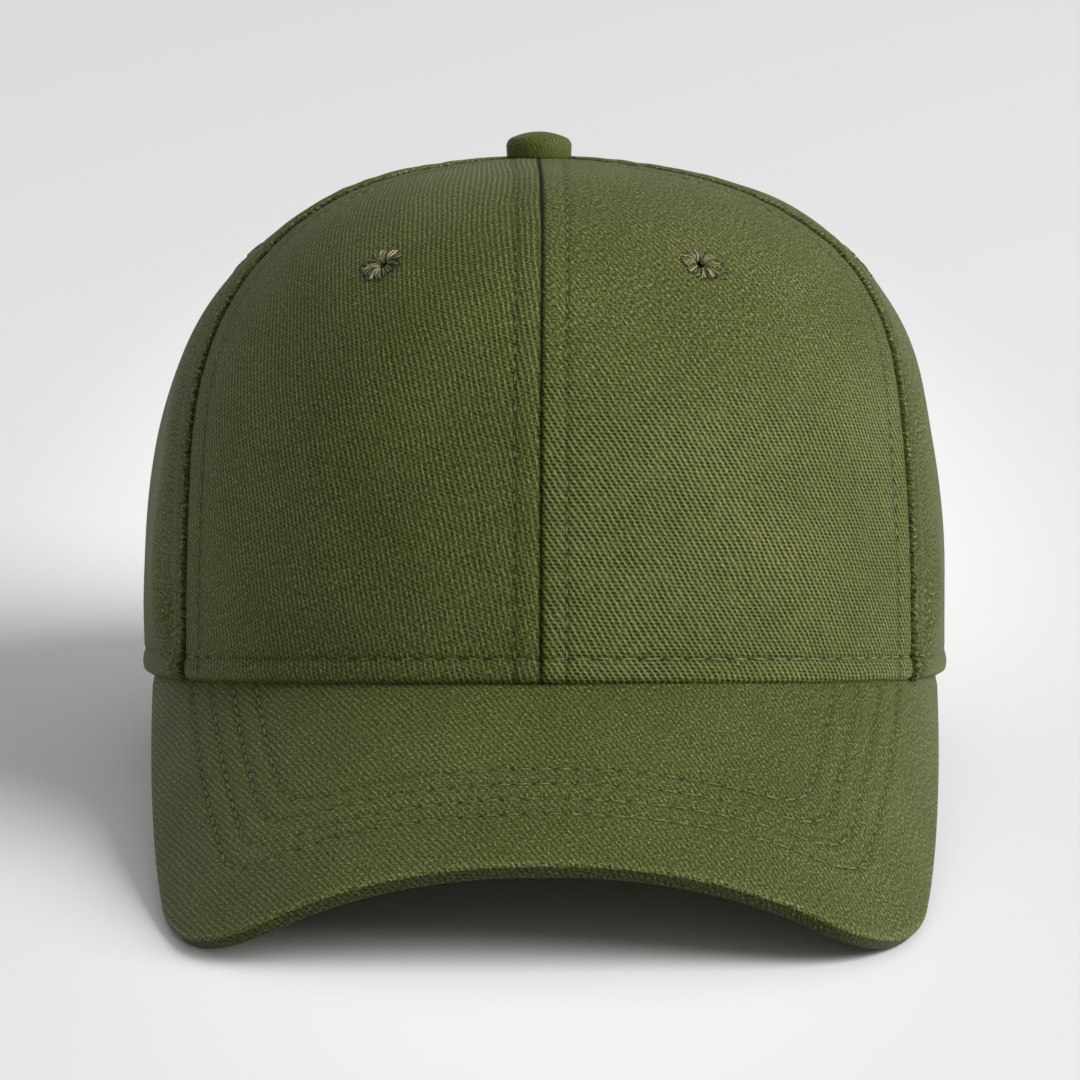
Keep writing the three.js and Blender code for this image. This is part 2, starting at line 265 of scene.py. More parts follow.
def wander(a, b, size, seed):
    """A slow, even wandering between about -1 and 1, over lengths of about size."""
    total = np.zeros_like(a)
    for i in range(5):
        turn = seed * 1.7 + i * 2.4
        k = 2 * math.pi / size * (0.6 + 0.25 * i)
        total += np.sin(k * (a * math.cos(turn) + b * math.sin(turn)) + seed * 3.1 + i * i) / 2.6
    return total


print("wandering at 0, 10 and 20 mm:", wander(np.array([0.0, 10.0, 20.0]), np.zeros(3), 20, 1).round(2))

# %% [markdown]
# ## Colours and the material helper
#
# Swatches are written as sRGB hex, as they are read off cloth under a neutral
# light, and one function turns them into the linear values that shaders use.

# %% Colour and node helpers
def linear(swatch):
    """An sRGB hex swatch as linear red, green, blue and alpha."""
    parts = [int(swatch[i : i + 2], 16) / 255 for i in (1, 3, 5)]
    return [part / 12.92 if part <= 0.04045 else ((part + 0.055) / 1.055) ** 2.4 for part in parts] + [1.0]


def node(tree, kind, *inputs, out=0, **settings):
    """Adds a shader node and gives back one of its outputs.

    inputs are values or sockets for its first inputs. settings are its properties or, with a
    capital, further inputs by name, where an underscore stands for a space.
    """
    made = tree.nodes.new("ShaderNode" + kind)
    wanted = list(enumerate(inputs))
    for key, value in settings.items():
        if key[0].islower():
            setattr(made, key, value)
        else:
            wanted.append((key.replace("_", " "), value))
    for key, value in wanted:
        if isinstance(value, bpy.types.NodeSocket):
            tree.links.new(value, made.inputs[key])
        else:
            made.inputs[key].default_value = value
    return made.outputs[out] if made.outputs else made


def fill_ramp(colour, stops):
    """Gives the colour ramp behind a socket its stops, as pairs of position and swatch."""
    band = colour.node.color_ramp
    while len(band.elements) < len(stops):
        band.elements.new(0.5)
    for element, (position, swatch) in zip(band.elements, stops):
        element.position, element.color = position, linear(swatch)
    return colour


def fresh_material(name):
    """A new material with an empty node tree."""
    material = bpy.data.materials.new(name)
    material.use_nodes = True
    material.node_tree.nodes.clear()
    return material, material.node_tree


print("olive in linear light:", [round(c, 3) for c in linear("#565d32")])

# %% [markdown]
# ## Brushed cotton twill
#
# Twill is woven so that each weft thread steps one warp thread along, which raises
# slanting ribs, here 1.15 mm apart. In the channels between them the threads cross,
# and each crossing leaves a small pit. The cloth was dyed olive and brushed, so
# a pale fuzz lies over the ribs and hides them where the cloth was rubbed most. One
# height made of ribs, pits and fuzz drives the bump and also the colour, so the pits
# are darkened with painted shade and the rib crests paled with a painted highlight.
# The sheen is the fuzz seen edge on. Cotton is matt, so there is hardly any other
# reflection.

# %% The twill
RIB_PITCH = 1.15
PIT_PITCH = 0.89
PIT_STEP = -0.85
FUZZ_SIZE = 0.42


def twill(name, swatches, depth=0.24, pitch=RIB_PITCH, ribs=1.0):
    """Twill on the cloth map, in mm. depth is its relief, and ribs how much of the weave shows."""
    material, tree = fresh_material(name)
    at = node(tree, "UVMap", uv_map="cloth")
    ribbed = node(tree, "Attribute", attribute_name="ribbed", out="Fac")
    lightened_and_shaded = node(tree, "Attribute", attribute_name="lightened_and_shaded", out="Fac")
    axes = node(tree, "SeparateXYZ", at).node.outputs

    # Noises, with patches about 20, 1.4, 3.6 and 29 mm across
    slow = node(tree, "TexNoise", Vector=at, Scale=0.05, Detail=1.0)
    quick = node(tree, "TexNoise", Vector=at, Scale=0.7, Detail=3.0, Roughness=0.6)
    thread = node(tree, "TexNoise", Vector=at, Scale=0.28, Detail=3.0)
    patch = node(tree, "TexNoise", Vector=at, Scale=0.035, Detail=3.0)

    # The ribs, which wander a little to either side
    swing = node(tree, "Math", slow, 2.0, -1.0, operation="MULTIPLY_ADD")
    shake = node(tree, "Math", quick, 0.8, -0.4, operation="MULTIPLY_ADD")
    across = node(tree, "Math", axes["X"], node(tree, "Math", swing, shake))
    turn = node(tree, "Math", across, 2 * math.pi / pitch, operation="MULTIPLY")
    wave = node(tree, "Math", turn, operation="COSINE")
    rib = node(tree, "Math", wave, 0.5, 0.5, operation="MULTIPLY_ADD")
    ridge = node(tree, "Math", rib, 2.2, operation="POWER")
    trough = node(tree, "Math", wave, -0.5, 0.5, operation="MULTIPLY_ADD")
    channel = node(tree, "Math", trough, 1.1, operation="POWER")

    # The pits along each channel, deeper in some threads than in others
    pit_turn = 2 * math.pi / PIT_PITCH * RIB_PITCH / pitch
    step = node(tree, "Math", axes["Y"], pit_turn, operation="MULTIPLY")
    step = node(tree, "Math", quick, 5.0, step, operation="MULTIPLY_ADD")
    step = node(tree, "Math", turn, PIT_STEP, step, operation="MULTIPLY_ADD")
    crossing = node(tree, "Math", step, operation="COSINE")
    crossing = node(tree, "Math", crossing, 0.5, 0.5, operation="MULTIPLY_ADD")
    crossing = node(tree, "Math", node(tree, "Math", crossing, 1.5, operation="POWER"), 0.05)
    strength = node(tree, "Math", thread, 1.4, -0.05, operation="MULTIPLY_ADD")
    strength = node(tree, "Math", strength, ribbed, operation="MULTIPLY")
    pit = node(tree, "Math", channel, crossing, operation="MULTIPLY")
    pit = node(tree, "Math", pit, strength, operation="MULTIPLY")

    # The fuzz, which covers more where the ribs are fainter
    streak = node(tree, "Mapping", Vector=at, Scale=(1.0 / FUZZ_SIZE, 0.5 / FUZZ_SIZE, 1.0))
    fuzz = node(tree, "TexNoise", Vector=streak, Scale=1.0, Detail=4.0, Roughness=0.72)
    fuzz = node(tree, "Math", fuzz, 0.5, operation="SUBTRACT")
    fuzzy = node(tree, "Math", ribbed, -2.6, 3.5, operation="MULTIPLY_ADD")

    # The height of it all, and the colour, which follows the height: painted shade in the pits, a painted
    # highlight on the crests, and the mesh's tone shift and slow patches
    raised = node(tree, "Math", ridge, ribbed, operation="MULTIPLY")
    raised = node(tree, "Math", raised, 0.2 * ribs, 0.53, operation="MULTIPLY_ADD")
    woven = node(tree, "Math", pit, -0.9 * ribs, raised, operation="MULTIPLY_ADD")
    height = node(tree, "Math", fuzz, fuzzy, woven, operation="MULTIPLY_ADD")
    tone = node(tree, "Math", lightened_and_shaded, 0.3, height, operation="MULTIPLY_ADD")
    tone = node(tree, "Math", tone, 0.1, operation="SUBTRACT")
    tone = node(tree, "Math", patch, 0.2, tone, operation="MULTIPLY_ADD")
    colour = fill_ramp(node(tree, "ValToRGB", tone), swatches)
    bump = node(tree, "Bump", Strength=1.0, Distance=depth / 1000, Height=height)
    shader = node(
        tree, "BsdfPrincipled", Base_Color=colour, Roughness=0.55, Normal=bump, Specular_IOR_Level=0.17,
        Sheen_Weight=0.15, Sheen_Roughness=0.3, Sheen_Tint=linear("#d3d3b2"),
    )
    node(tree, "OutputMaterial", Surface=shader)
    return material


# The same cloth pulled tight has closer, fainter ribs, and the tape is a finer and flatter weave
OLIVE = ((0.0, "#111401"), (0.3, "#31380c"), (0.6, "#525920"), (1.0, "#9a9768"))
olive_twill = twill("brushed_cotton_twill_olive", OLIVE)
button_twill = twill("brushed_cotton_twill_olive_stretched", OLIVE, depth=0.14, pitch=0.85, ribs=0.35)
band_twill = twill("cotton_twill_tape", OLIVE, depth=0.12, pitch=0.7)
print("twill ribs", RIB_PITCH, "mm apart,", round(2 * HALF_WIDTH / RIB_PITCH), "across the front")

# %% [markdown]
# ## Sewing thread
#
# The seams are sewn with tonal polyester thread, 0.36 mm thick. It is smoother
# than the cloth and takes a soft highlight, so each stitch shows as a short pale
# dash. A fine grain, 2.6 grains to a millimetre, stands for its twisted plies.
# The holes that the needle leaves are shown as small nearly black beads, painted shade where the thread
# dives in.

# %% The thread
THREAD_WIDTH = 0.36
GRAINS_PER_MM = 2.6


def thread_material(name, *stops):
    """Twisted thread. Where a mesh says how pale each strand is, that shifts its colour."""
    material, tree = fresh_material(name)
    at = node(tree, "TexCoord", out="Object")
    grain = node(tree, "TexNoise", Vector=at, Scale=GRAINS_PER_MM * 1000, Detail=2.0)
    paler = node(tree, "Attribute", attribute_name="pale", out="Fac")
    colour = fill_ramp(node(tree, "ValToRGB", node(tree, "Math", grain, paler)), stops)
    bump = node(tree, "Bump", Strength=0.5, Distance=0.0001, Height=grain)
    shader = node(
        tree, "BsdfPrincipled", Base_Color=colour, Roughness=0.55, Normal=bump, Specular_IOR_Level=0.3,
        Sheen_Weight=0.2, Sheen_Roughness=0.4, Sheen_Tint=linear("#d8d8bc"),
    )
    node(tree, "OutputMaterial", Surface=shader)
    return material


seam_thread = thread_material("polyester_sewing_thread_olive", (0.3, "#464c20"), (0.75, "#8b8c60"))
eyelet_thread = thread_material(
    "polyester_embroidery_thread_olive", (0.15, "#1d210a"), (0.5, "#5d5f35"), (0.95, "#b9ae8e"),
)
# Nearly black thread for the beads of painted shade at needle holes and eyelet pits
painted_hole_shade = thread_material("needle_holes_in_shade", (0.3, "#0a0c04"), (0.75, "#12150a"))
print("thread", THREAD_WIDTH, "mm thick")

# %% [markdown]
# ## One stitch, and rows of it
#
# A lockstitch shows as a bead of thread that dives into the cloth at both ends. It
# is modelled once from a small sphere, which is arched, and then copied along each
# row, stretched and turned with the path and the cloth's own normal. All the
# stitches of one kind are one mesh.

# %% Stitches
STITCH_HALF_HEIGHT, STITCH_ARCH = 0.2, 0.9
CROWN_PITCH, RIM_PITCH = 3.1, 4.7
stitch_rng = np.random.default_rng(7)

bpy.ops.mesh.primitive_uv_sphere_add(segments=6, ring_count=6, radius=1.0, rotation=(0, math.pi / 2, 0))
pattern = bpy.context.active_object
bpy.ops.object.transform_apply(rotation=True)
bead = np.array([vertex.co for vertex in pattern.data.vertices])
bead_faces = [tuple(face.vertices) for face in pattern.data.polygons]
bpy.data.objects.remove(pattern)
bead[:, 2] -= STITCH_ARCH * np.abs(bead[:, 0]) ** 2.5
print("one stitch:", len(bead), "points and", len(bead_faces), "faces")


def lengths_along(path):
    """How far along a path each of its points is, in mm."""
    return np.concatenate([[0], np.cumsum(np.linalg.norm(np.diff(path, axis=0), axis=1))])


def resample(path, pitch):
    """Evenly spaced places along a path, about pitch apart, as fractions of its index."""
    lengths = lengths_along(path)
    count = max(int(lengths[-1] / pitch), 1)
    return np.interp((np.arange(count) + 0.5) * lengths[-1] / count, lengths, np.arange(len(path)))


def along(values, index):
    """Rows of values, read between their whole indexes."""
    return np.stack([np.interp(index, np.arange(len(values)), column) for column in values.T], 1)


def way_along(path, index):
    """The direction in which a path runs at these places, of any length."""
    return along(path, np.minimum(index + 0.3, len(path) - 1)) - along(path, np.maximum(index - 0.3, 0))


def hole_shade_on(path, normals, pitch, size):
    """Small nearly black beads of painted shade at the needle holes between the stitches of one row."""
    index = resample(path, pitch)
    middle = (index[1:] + index[:-1]) / 2
    centre, normal = along(path, middle), unit(along(normals, middle))
    forward = unit(way_along(path, middle))
    side = np.cross(normal, forward)
    spread = size * stitch_rng.normal(1, 0.2, (len(middle), 1))
    return [centre + normal * 0.02, forward * spread * 1.3, side * spread, normal * 0.1]


def stitches_on(path, normals, pitch, lift, fill=0.74):
    """Centres and axes of the stitches of one row. path and normals are in crown millimetres.

    lift is how far a stitch stands above the path, one number or one for each point of the path.
    """
    index = resample(path, pitch)
    centre = along(path, index)
    normal = unit(along(normals, index))
    lift = along(np.zeros((len(path), 1)) + np.reshape(lift, (-1, 1)), index)
    forward = way_along(path, index)
    forward = unit(forward - normal * (forward * normal).sum(1, keepdims=True))
    side = np.cross(normal, forward)
    swing = stitch_rng.normal(0, 0.05, (len(index), 1))
    forward = forward * np.cos(swing) + side * np.sin(swing)
    side = np.cross(normal, forward)
    size = pitch * fill / 2 * stitch_rng.normal(1, 0.05, (len(index), 1))
    return [centre + normal * lift, forward * size, side * THREAD_WIDTH / 2, normal * STITCH_HALF_HEIGHT]


def thread_piece(name, points, faces):
    """A piece from points in crown millimetres and the faces between them."""
    mesh = bpy.data.meshes.new(name)
    mesh.from_pydata(to_room(points).tolist(), [], faces)
    piece = bpy.data.objects.new(name, mesh)
    bpy.context.scene.collection.objects.link(piece)
    return piece


def sew(name, rows, material):
    """One mesh with a bead at every stitch of these rows."""
    centre, forward, side, normal = (np.concatenate(part) for part in zip(*rows))
    points = (
        centre[:, None] + bead[None, :, :1] * forward[:, None] + bead[None, :, 1:2] * side[:, None]
        + bead[None, :, 2:] * normal[:, None]
    )
    faces = [tuple(v + i * len(bead) for v in face) for i in range(len(centre)) for face in bead_faces]
    finish_piece(thread_piece(name, points.reshape(-1, 3), faces), material, "eyelet_thread")
    print(name, len(centre), "stitches")


print("stitches on", len(SEAMS), "seams,", CROWN_PITCH, "mm apart")

# %% [markdown]
# ## The relief of a sewn panel
#
# Along each seam the cloth turns down into a narrow groove. The seam allowances
# lie under it, so a soft welt runs from the groove to a topstitched line, 5.2 mm
# away, or 7.3 mm at the two seams beside the front. That line is pulled into the
# cloth. Where a side panel meets the stiff front, its edge is folded over softly,
# with a shallow valley and a puff of slack cloth behind it, and the fold ends in a
# small knob and a dent at the rim. At the rim the cloth is turned under and
# stitched 5 mm up.

# %% Relief along seams and hems
TOPSTITCH, SIDE_TOPSTITCH, RIM_STITCH = 5.2, 7.3, 5.0
GROOVE_DEPTH, GROOVE_WIDTH = 0.85, 0.45
WELT_RISE, STITCH_PULL, PUCKER_RISE = 0.18, 0.2, 0.1
FOLD_RISE, FOLD_WIDTH, VALLEY_DEPTH, SLACK_RISE = 0.8, 5.6, 0.35, 0.9
KNOB_RISE, DENT_DEPTH = 0.9, 1.1
HEM_ROUND, HEM_RISE, HEM_PULL = 1.1, 0.38, 0.3


def seam_relief(distance, run, stitch, seed):
    """Height over the plain surface, distance mm from a seam and run mm up it."""
    groove = -GROOVE_DEPTH * np.exp(-((distance / GROOVE_WIDTH) ** 1.4))
    welt = WELT_RISE * bump_at(distance, stitch / 2, stitch / 3)
    per_stitch = 0.8 + 0.2 * np.cos(2 * math.pi * run / CROWN_PITCH)
    line = -STITCH_PULL * bump_at(distance, stitch, 0.5) * per_stitch
    pucker = PUCKER_RISE * wander(run, distance * 0.3, 8.0, seed) * np.exp(-((distance / 6.5) ** 4))
    return groove + welt + line + pucker * fade(distance, 0, 1.5)


def folded_edge(distance, run):
    """The side panel's edge where it laps the stiff front, and the slack cloth behind it."""
    fold = FOLD_RISE * (1 - np.exp(-distance / GROOVE_WIDTH)) / (1 + np.exp((distance - FOLD_WIDTH) / 0.7))
    valley = -VALLEY_DEPTH * bump_at(distance, 8.0, 2.2)
    slack = SLACK_RISE * bump_at(distance, 16, 7) * (0.7 + 0.5 * wander(run, distance, 50, 3))
    slack = slack * fade(run, 95, 55)
    knob = KNOB_RISE * bump_at(distance, 3.5, 3.0) * bump_at(run, 3.0, 3.0)
    dent = -DENT_DEPTH * bump_at(distance, 8.5, 3.5) * bump_at(run, 12, 8)
    return fold + (valley + slack) * fade(run, 0, 12) + knob + dent


def hem_relief(height):
    """The turned hem: a rounded lower edge, a soft roll and the stitched line over it."""
    corner = np.clip(HEM_ROUND - height, 0, HEM_ROUND)
    edge = np.sqrt(np.maximum(HEM_ROUND**2 - corner**2, 0)) - HEM_ROUND
    return edge - HEM_PULL * bump_at(height, RIM_STITCH, 0.5) + HEM_RISE * bump_at(height, 2.4, 1.7)


print("a hem 0, 2.4 and 5 mm up stands off by", hem_relief(np.array([0.0, 2.4, 5.0])).round(2), "mm")

# %% [markdown]
# ## Six panels
#
# Each panel is one gore from the rim to the button, between two seams. This cell
# says how they are cut: the direction of the ribs in each, the arch in the back two
# and the place of the air hole in each. The distances are measured on the crown, so
# that what is sewn keeps its millimetres wherever the surface bends.

# %% How the panels are cut
PANELS = {
    "panel_front_right": ("front", "right"), "panel_side_right": ("right", "back_right"),
    "panel_back_right": ("back_right", "back"), "panel_back_left": ("back", "back_left"),
    "panel_side_left": ("back_left", "left"), "panel_front_left": ("left", "front"),
}
RIB_ANGLES = {
    "panel_front_left": 77, "panel_front_right": 58, "panel_side_right": 50,
    "panel_side_left": 62, "panel_back_right": 57, "panel_back_left": 57,
}
FOLDED_SEAMS = ("left", "right")
ARCH_HALF_WIDTH, ARCH_STRAIGHT, ARCH_ROUND = 38.0, 8.0, 36.0
FRONT_EYELET = {"panel_front_right": 29.6, "panel_front_left": 30.9}
EYELET_CLIMB = math.radians(44.9)


def arch_gap(points):
    """How far crown points are outside the arch that is cut out of the back, in mm."""
    x, y, z = np.moveaxis(points, -1, 0)
    above = np.maximum(z + RIM_DROP - ARCH_STRAIGHT, 0)
    gap = (np.hypot(x / ARCH_HALF_WIDTH, above / ARCH_ROUND) - 1) * ARCH_ROUND
    return np.where(y > 0, gap, 1e3)


def eyelet_at(name):
    """The angles of a panel's eyelet: about 30 degrees from the centre seam in front, else halfway."""
    first, second = PANELS[name]
    degrees = (SEAMS[first] + SEAMS[second]) / 2
    if first == "front":
        degrees = SEAMS[first] + FRONT_EYELET[name]
    if second == "front":
        degrees = SEAMS[second] + 360 - FRONT_EYELET[name]
    return np.array(math.radians(degrees)), np.array(EYELET_CLIMB)


def sides_of(name, climb):
    """The two seam angles of a panel at these climbs, the second one larger."""
    first, second = (seam_theta(seam, climb) for seam in PANELS[name])
    return first, np.where(second < first, second + 2 * math.pi, second)


def seam_distance(points, seam, climb):
    """How far points of the crown are from a seam, measured square to it."""
    low, high = np.maximum(climb - 2e-3, 0), np.minimum(climb + 2e-3, math.pi / 2)
    foot = crown(seam_theta(seam, climb), climb)
    tangent = unit(crown(seam_theta(seam, high), high) - crown(seam_theta(seam, low), low))
    return np.linalg.norm(np.cross(points - foot, tangent), axis=-1)


def stitch_reach(seam):
    """How far from a seam its topstitched lines run."""
    return SIDE_TOPSTITCH if seam in FOLDED_SEAMS else TOPSTITCH


for panel, seams in PANELS.items():
    print(panel, "is sewn between the seams", *seams)

# %% [markdown]
# ## The finished surface of a panel
#
# A panel's surface is the crown's, moved in and out by the relief of its seams and
# its hem. The stiff front swells a little towards the centre seam, like a low prow.
# The softer panels wander, and the stitching of each air hole pulls the cloth in
# and raises a faint ring round it. The same function says where the cloth is paler,
# where painted shade darkens its seam grooves, stitch lines and folded bands, and how
# clearly its ribs show: the folded edges and the top of the right front panel were
# brushed smoothest.

# %% A panel's surface
SOFTNESS = {"front": 0.25, "side": 0.6, "back": 0.6}
PROW, PROW_WIDTH = 1.7, 14.0
SIDE_PUFF = {"panel_side_left": 0.6, "panel_side_right": 0.4}
EYELET_DIP, EYELET_RING = 0.5, 0.12
RIBBED_UP = {
    "panel_front_right": ((0, 50, 75, 110), (0.95, 1.0, 0.45, 0.3)),
    "panel_front_left": ((0, 60, 110), (0.6, 0.75, 0.68)),
}


def panel_surface(name, theta, climb, run, flat):
    """Points of the finished outer surface, the shift of its colour there, paler on raised edges and darker
    with painted shade, and how ribbed.
    """
    base, normal, from_top = crown(theta, climb), crown_normal(theta, climb), math.pi / 2 - climb
    lift = hem_relief(run)
    # Paler at the turned edge of the hem; painted shade darkens its stitch line
    lightened_and_shaded = 0.2 * bump_at(run, 1.2, 1.2) - 0.5 * bump_at(run, RIM_STITCH, 0.45)
    ribbed = np.interp(run, *RIBBED_UP[name]) if name in RIBBED_UP else np.full_like(run, 0.75)
    nearest = np.full_like(theta, 1e3)
    for seam in PANELS[name]:
        distance, stitch = seam_distance(base, seam, climb), stitch_reach(seam)
        nearest = np.minimum(nearest, distance)
        relief = seam_relief(distance, run, stitch, seed=len(seam) + round(SEAMS[seam]) % 7)
        lift = lift + fade(from_top, 0.03, 0.23) * relief
        # Painted shade darkens the seam's groove and its topstitched line
        lightened_and_shaded = lightened_and_shaded - 1.2 * bump_at(distance, 0, 0.45) - 0.6 * bump_at(distance, stitch, 0.4)
        if "side" in name and seam in FOLDED_SEAMS:
            lift = lift + folded_edge(distance, run)
            # Paler on the fold's crest, and darker over the folded band beside it
            lightened_and_shaded = lightened_and_shaded + 0.5 * bump_at(distance, 0.9, 0.5) - 0.3 / (1 + np.exp((distance - 6.0) / 0.8))
            ribbed = ribbed * (1 - 0.75 * np.exp(-((distance / 22) ** 4)))
        if seam == "front":
            prow = PROW * (0.6 + 0.4 * fade(run, 0, 20)) * fade(from_top, 0, 0.5)
            lift = lift + prow * np.exp(-distance / PROW_WIDTH)
    away = fade(run, 0, 25) * fade(nearest, 2, 18) * fade(arch_gap(base), 6, 20)
    soft = SOFTNESS[name.split("_")[1]]
    lift = lift + soft * wander(flat[:, 0], flat[:, 1], 60, 3 + len(name)) * away
    puff = SIDE_PUFF.get(name, 0.0) * bump_at(run, 42, 30) * fade(run, 0, 14)
    lift = lift + puff * fade(nearest, 3, 23)
    ring = np.linalg.norm(base - crown(*eyelet_at(name)), axis=-1)
    lift = lift - EYELET_DIP * bump_at(ring, 0, 3.6) + EYELET_RING * bump_at(ring, 6.4, 1.4)
    return base + normal * lift[:, None], lightened_and_shaded, ribbed


print("the front swells by", PROW, "mm at its centre seam")

# %% [markdown]
# ## Sewing up the panels
#
# The columns of a panel's grid are close together along the seams and further apart
# in the middle, and the rows are close together at the hem. The holes for the
# eyelets and the arch at the back are cut by deleting faces, and a Solidify modifier
# then gives the cloth its thickness. How far the cloth stands off round each eyelet
# is kept for the embroidery, which has to lie on it.

# %% The panels
CLOTH, TOP_REACH, SEAM_GAP = 1.6, 2.4, 0.02
GRAIN_ORIGIN = {"panel_front_left": 0.8, "panel_front_right": 0.2}
EYELET_CUT, ARCH_CUT = 1.7, 0.7
cloth_lift = {}


def spaced(length, fine, coarse, fine_at_start, fine_at_end):
    """Positions from 0 to 1, in fine steps near the ends and coarse ones between."""
    start = np.arange(0, fine_at_start, fine)
    end = length - np.arange(0, fine_at_end, fine)[::-1] if fine_at_end else np.array([length])
    count = max(int((end[0] - fine_at_start) / coarse), 2)
    return np.concatenate([start, np.linspace(fine_at_start, end[0], count, endpoint=False), end]) / length


def panel_layout(name, shares, steps):
    """theta, climb, mm up and mm across at every column and row, and the panel's sides there."""
    table = np.linspace(0, math.pi / 2, 500)
    first, second = sides_of(name, table)
    climb, run = np.empty((2, len(shares), len(steps)))
    for k, share in enumerate(shares):
        lengths = lengths_along(crown(first + (second - first) * share, table))
        run[k] = steps * (lengths[-1] - TOP_REACH)
        climb[k] = np.interp(run[k], lengths, table)
    first, second = sides_of(name, climb)
    theta = first + (second - first) * shares[:, None]
    strips = np.linalg.norm(np.diff(crown(theta, climb), axis=0), axis=-1)
    width_so_far = np.concatenate([np.zeros((1, len(steps))), np.cumsum(strips, axis=0)])
    flat_x = width_so_far - width_so_far[-1] * GRAIN_ORIGIN.get(name, 0.5)
    return theta, climb, run, flat_x, first, second


def make_panel(name):
    """One panel: its grid is shaped, its hole and the arch are cut, and it gets its thickness."""
    shares, steps = spaced(95.0, 0.42, 1.05, 7.0, 7.0), spaced(150.0, 0.45, 1.1, 7.0, 0)
    piece, i, j = cloth_grid(name + "_cloth", len(shares) - 1, len(steps) - 1)
    theta, climb, run, flat_x, first, second = (part[i, j] for part in panel_layout(name, shares, steps))
    trim = SEAM_GAP / np.maximum(np.linalg.norm(crown(theta, climb)[:, :2], axis=1), 1)
    theta = np.clip(theta, first + trim, second - trim)
    flat = np.stack([flat_x, run], 1)
    points, lightened_and_shaded, ribbed = panel_surface(name, theta, climb, run, flat)
    place(piece, points, flat, RIB_ANGLES[name], lightened_and_shaded, ribbed)

    plain, eyelet = crown(theta, climb), crown(*eyelet_at(name))
    lift = ((points - plain) * crown_normal(theta, climb)).sum(1)
    ring = np.linalg.norm(plain - eyelet, axis=1)
    cloth_lift[name] = lift[np.abs(ring - 5.0) < 0.8].mean()
    print(name, "stands off by", cloth_lift[name].round(2), "mm round its eyelet")
    middles = plain[face_corners(piece)].mean(1)
    hole = np.linalg.norm(middles - eyelet, axis=1) < EYELET_CUT
    if "back" in name:
        hole = hole | (arch_gap(middles) < ARCH_CUT)
    delete_faces(piece, hole)
    thicken(piece, CLOTH)
    finish_piece(piece, olive_twill, "twill", name)


for panel in PANELS:
    make_panel(panel)

# %% [markdown]
# ## Seam tapes
#
# Inside the crown each seam is covered with a cotton tape 12 mm wide. From outside
# the tapes can't be seen, but they close the seams, so no light comes through.

# %% Seam tapes
TAPE_WIDTH, TAPE_THICKNESS, TAPE_GAP = 12.0, 0.5, 0.15
TAPE_COLUMNS, TAPE_ROWS = 8, 110


def mm_per_radian(theta, climb):
    """How many mm of the crown's surface a radian of theta is worth, at least 4."""
    step = 1e-3
    return np.maximum(np.linalg.norm(crown(theta + step, climb) - crown(theta, climb), axis=-1) / step, 4.0)


def seam_tape(seam):
    """A tape under one seam. It narrows towards the button, and ends where the arch begins."""
    piece, i, j = cloth_grid("seam_tape_" + seam, TAPE_COLUMNS, TAPE_ROWS)
    climbs = np.radians(np.linspace(1.5, 89.0, TAPE_ROWS + 1))[j]
    across = (i / TAPE_COLUMNS - 0.5) * TAPE_WIDTH
    here = seam_theta(seam, climbs)
    spot = crown(here, climbs)
    reach = np.minimum(TAPE_WIDTH / 2, 0.55 * np.hypot(spot[:, 0], spot[:, 1]))
    theta = here + across * reach / (TAPE_WIDTH / 2) / mm_per_radian(here, climbs)
    base, normal = crown(theta, climbs), crown_normal(theta, climbs)
    depth = CLOTH + TAPE_GAP + TAPE_THICKNESS - 0.25 * bump_at(across, 0, 2.0)
    points = base - normal * depth[:, None]
    if seam.startswith("back"):
        points = np.where(arch_gap(base)[:, None] < 1.0, spot - crown_normal(here, climbs) * 2.3, points)
    place(piece, points, np.stack([across, climbs * 100], 1), 90)
    if seam == "back":
        inside = arch_gap(spot) < 4.0
        delete_faces(piece, inside[face_corners(piece)].all(1))
    thicken(piece, TAPE_THICKNESS)
    finish_piece(piece, band_twill, "sweatband_twill")


for seam in SEAMS:
    seam_tape(seam)

# %% [markdown]
# ## The peak's flat pattern
#
# A peak is a flat board, cut to a D shape, wrapped in twill and bent. Its section
# is the rim of the crown seen down the slope, so each lengthwise line of the board
# starts on the rim. A point of the flat pattern is given by its distance across
# and its distance forward, and one function bends it into place.

# %% Peak surface and outline
SLOPE, PEAK_END = math.radians(29), math.radians(79)
PEAK_HALF_WIDTH, PEAK_THICKNESS, PEAK_TUCK, PEAK_GAP = 84.5, 3.4, 2.4, 0.3

# Half the outline, across and forward in mm, as three curves with four handles each
PEAK_CURVES = (
    ((0, 64.0), (20, 63.4), (40, 63.6), (56, 64.8)),
    ((56, 64.8), (67, 65.4), (78, 58.4), (83.8, 39)),
    ((83.8, 39), (88.4, 20), (94.8, -22), (100, -66)),
)


def rim_section(theta):
    """The rim seen down the peak's slope: across, how far it sags, and how far forward it lies."""
    back = FRONT_REACH * (1 - np.cos(theta))
    rim = rim_height(theta)
    sag = back * math.sin(SLOPE) - rim * math.cos(SLOPE)
    return PEAK_HALF_WIDTH * np.sin(theta), sag, -back * math.cos(SLOPE) - rim * math.sin(SLOPE)


section_angles = np.radians(np.linspace(0, 88, 353))
section_x, section_sag, _ = rim_section(section_angles)
section_length = lengths_along(np.stack([section_x, section_sag], 1))
section_turn = np.unwrap(np.arctan2(np.gradient(section_sag), np.gradient(section_x)))


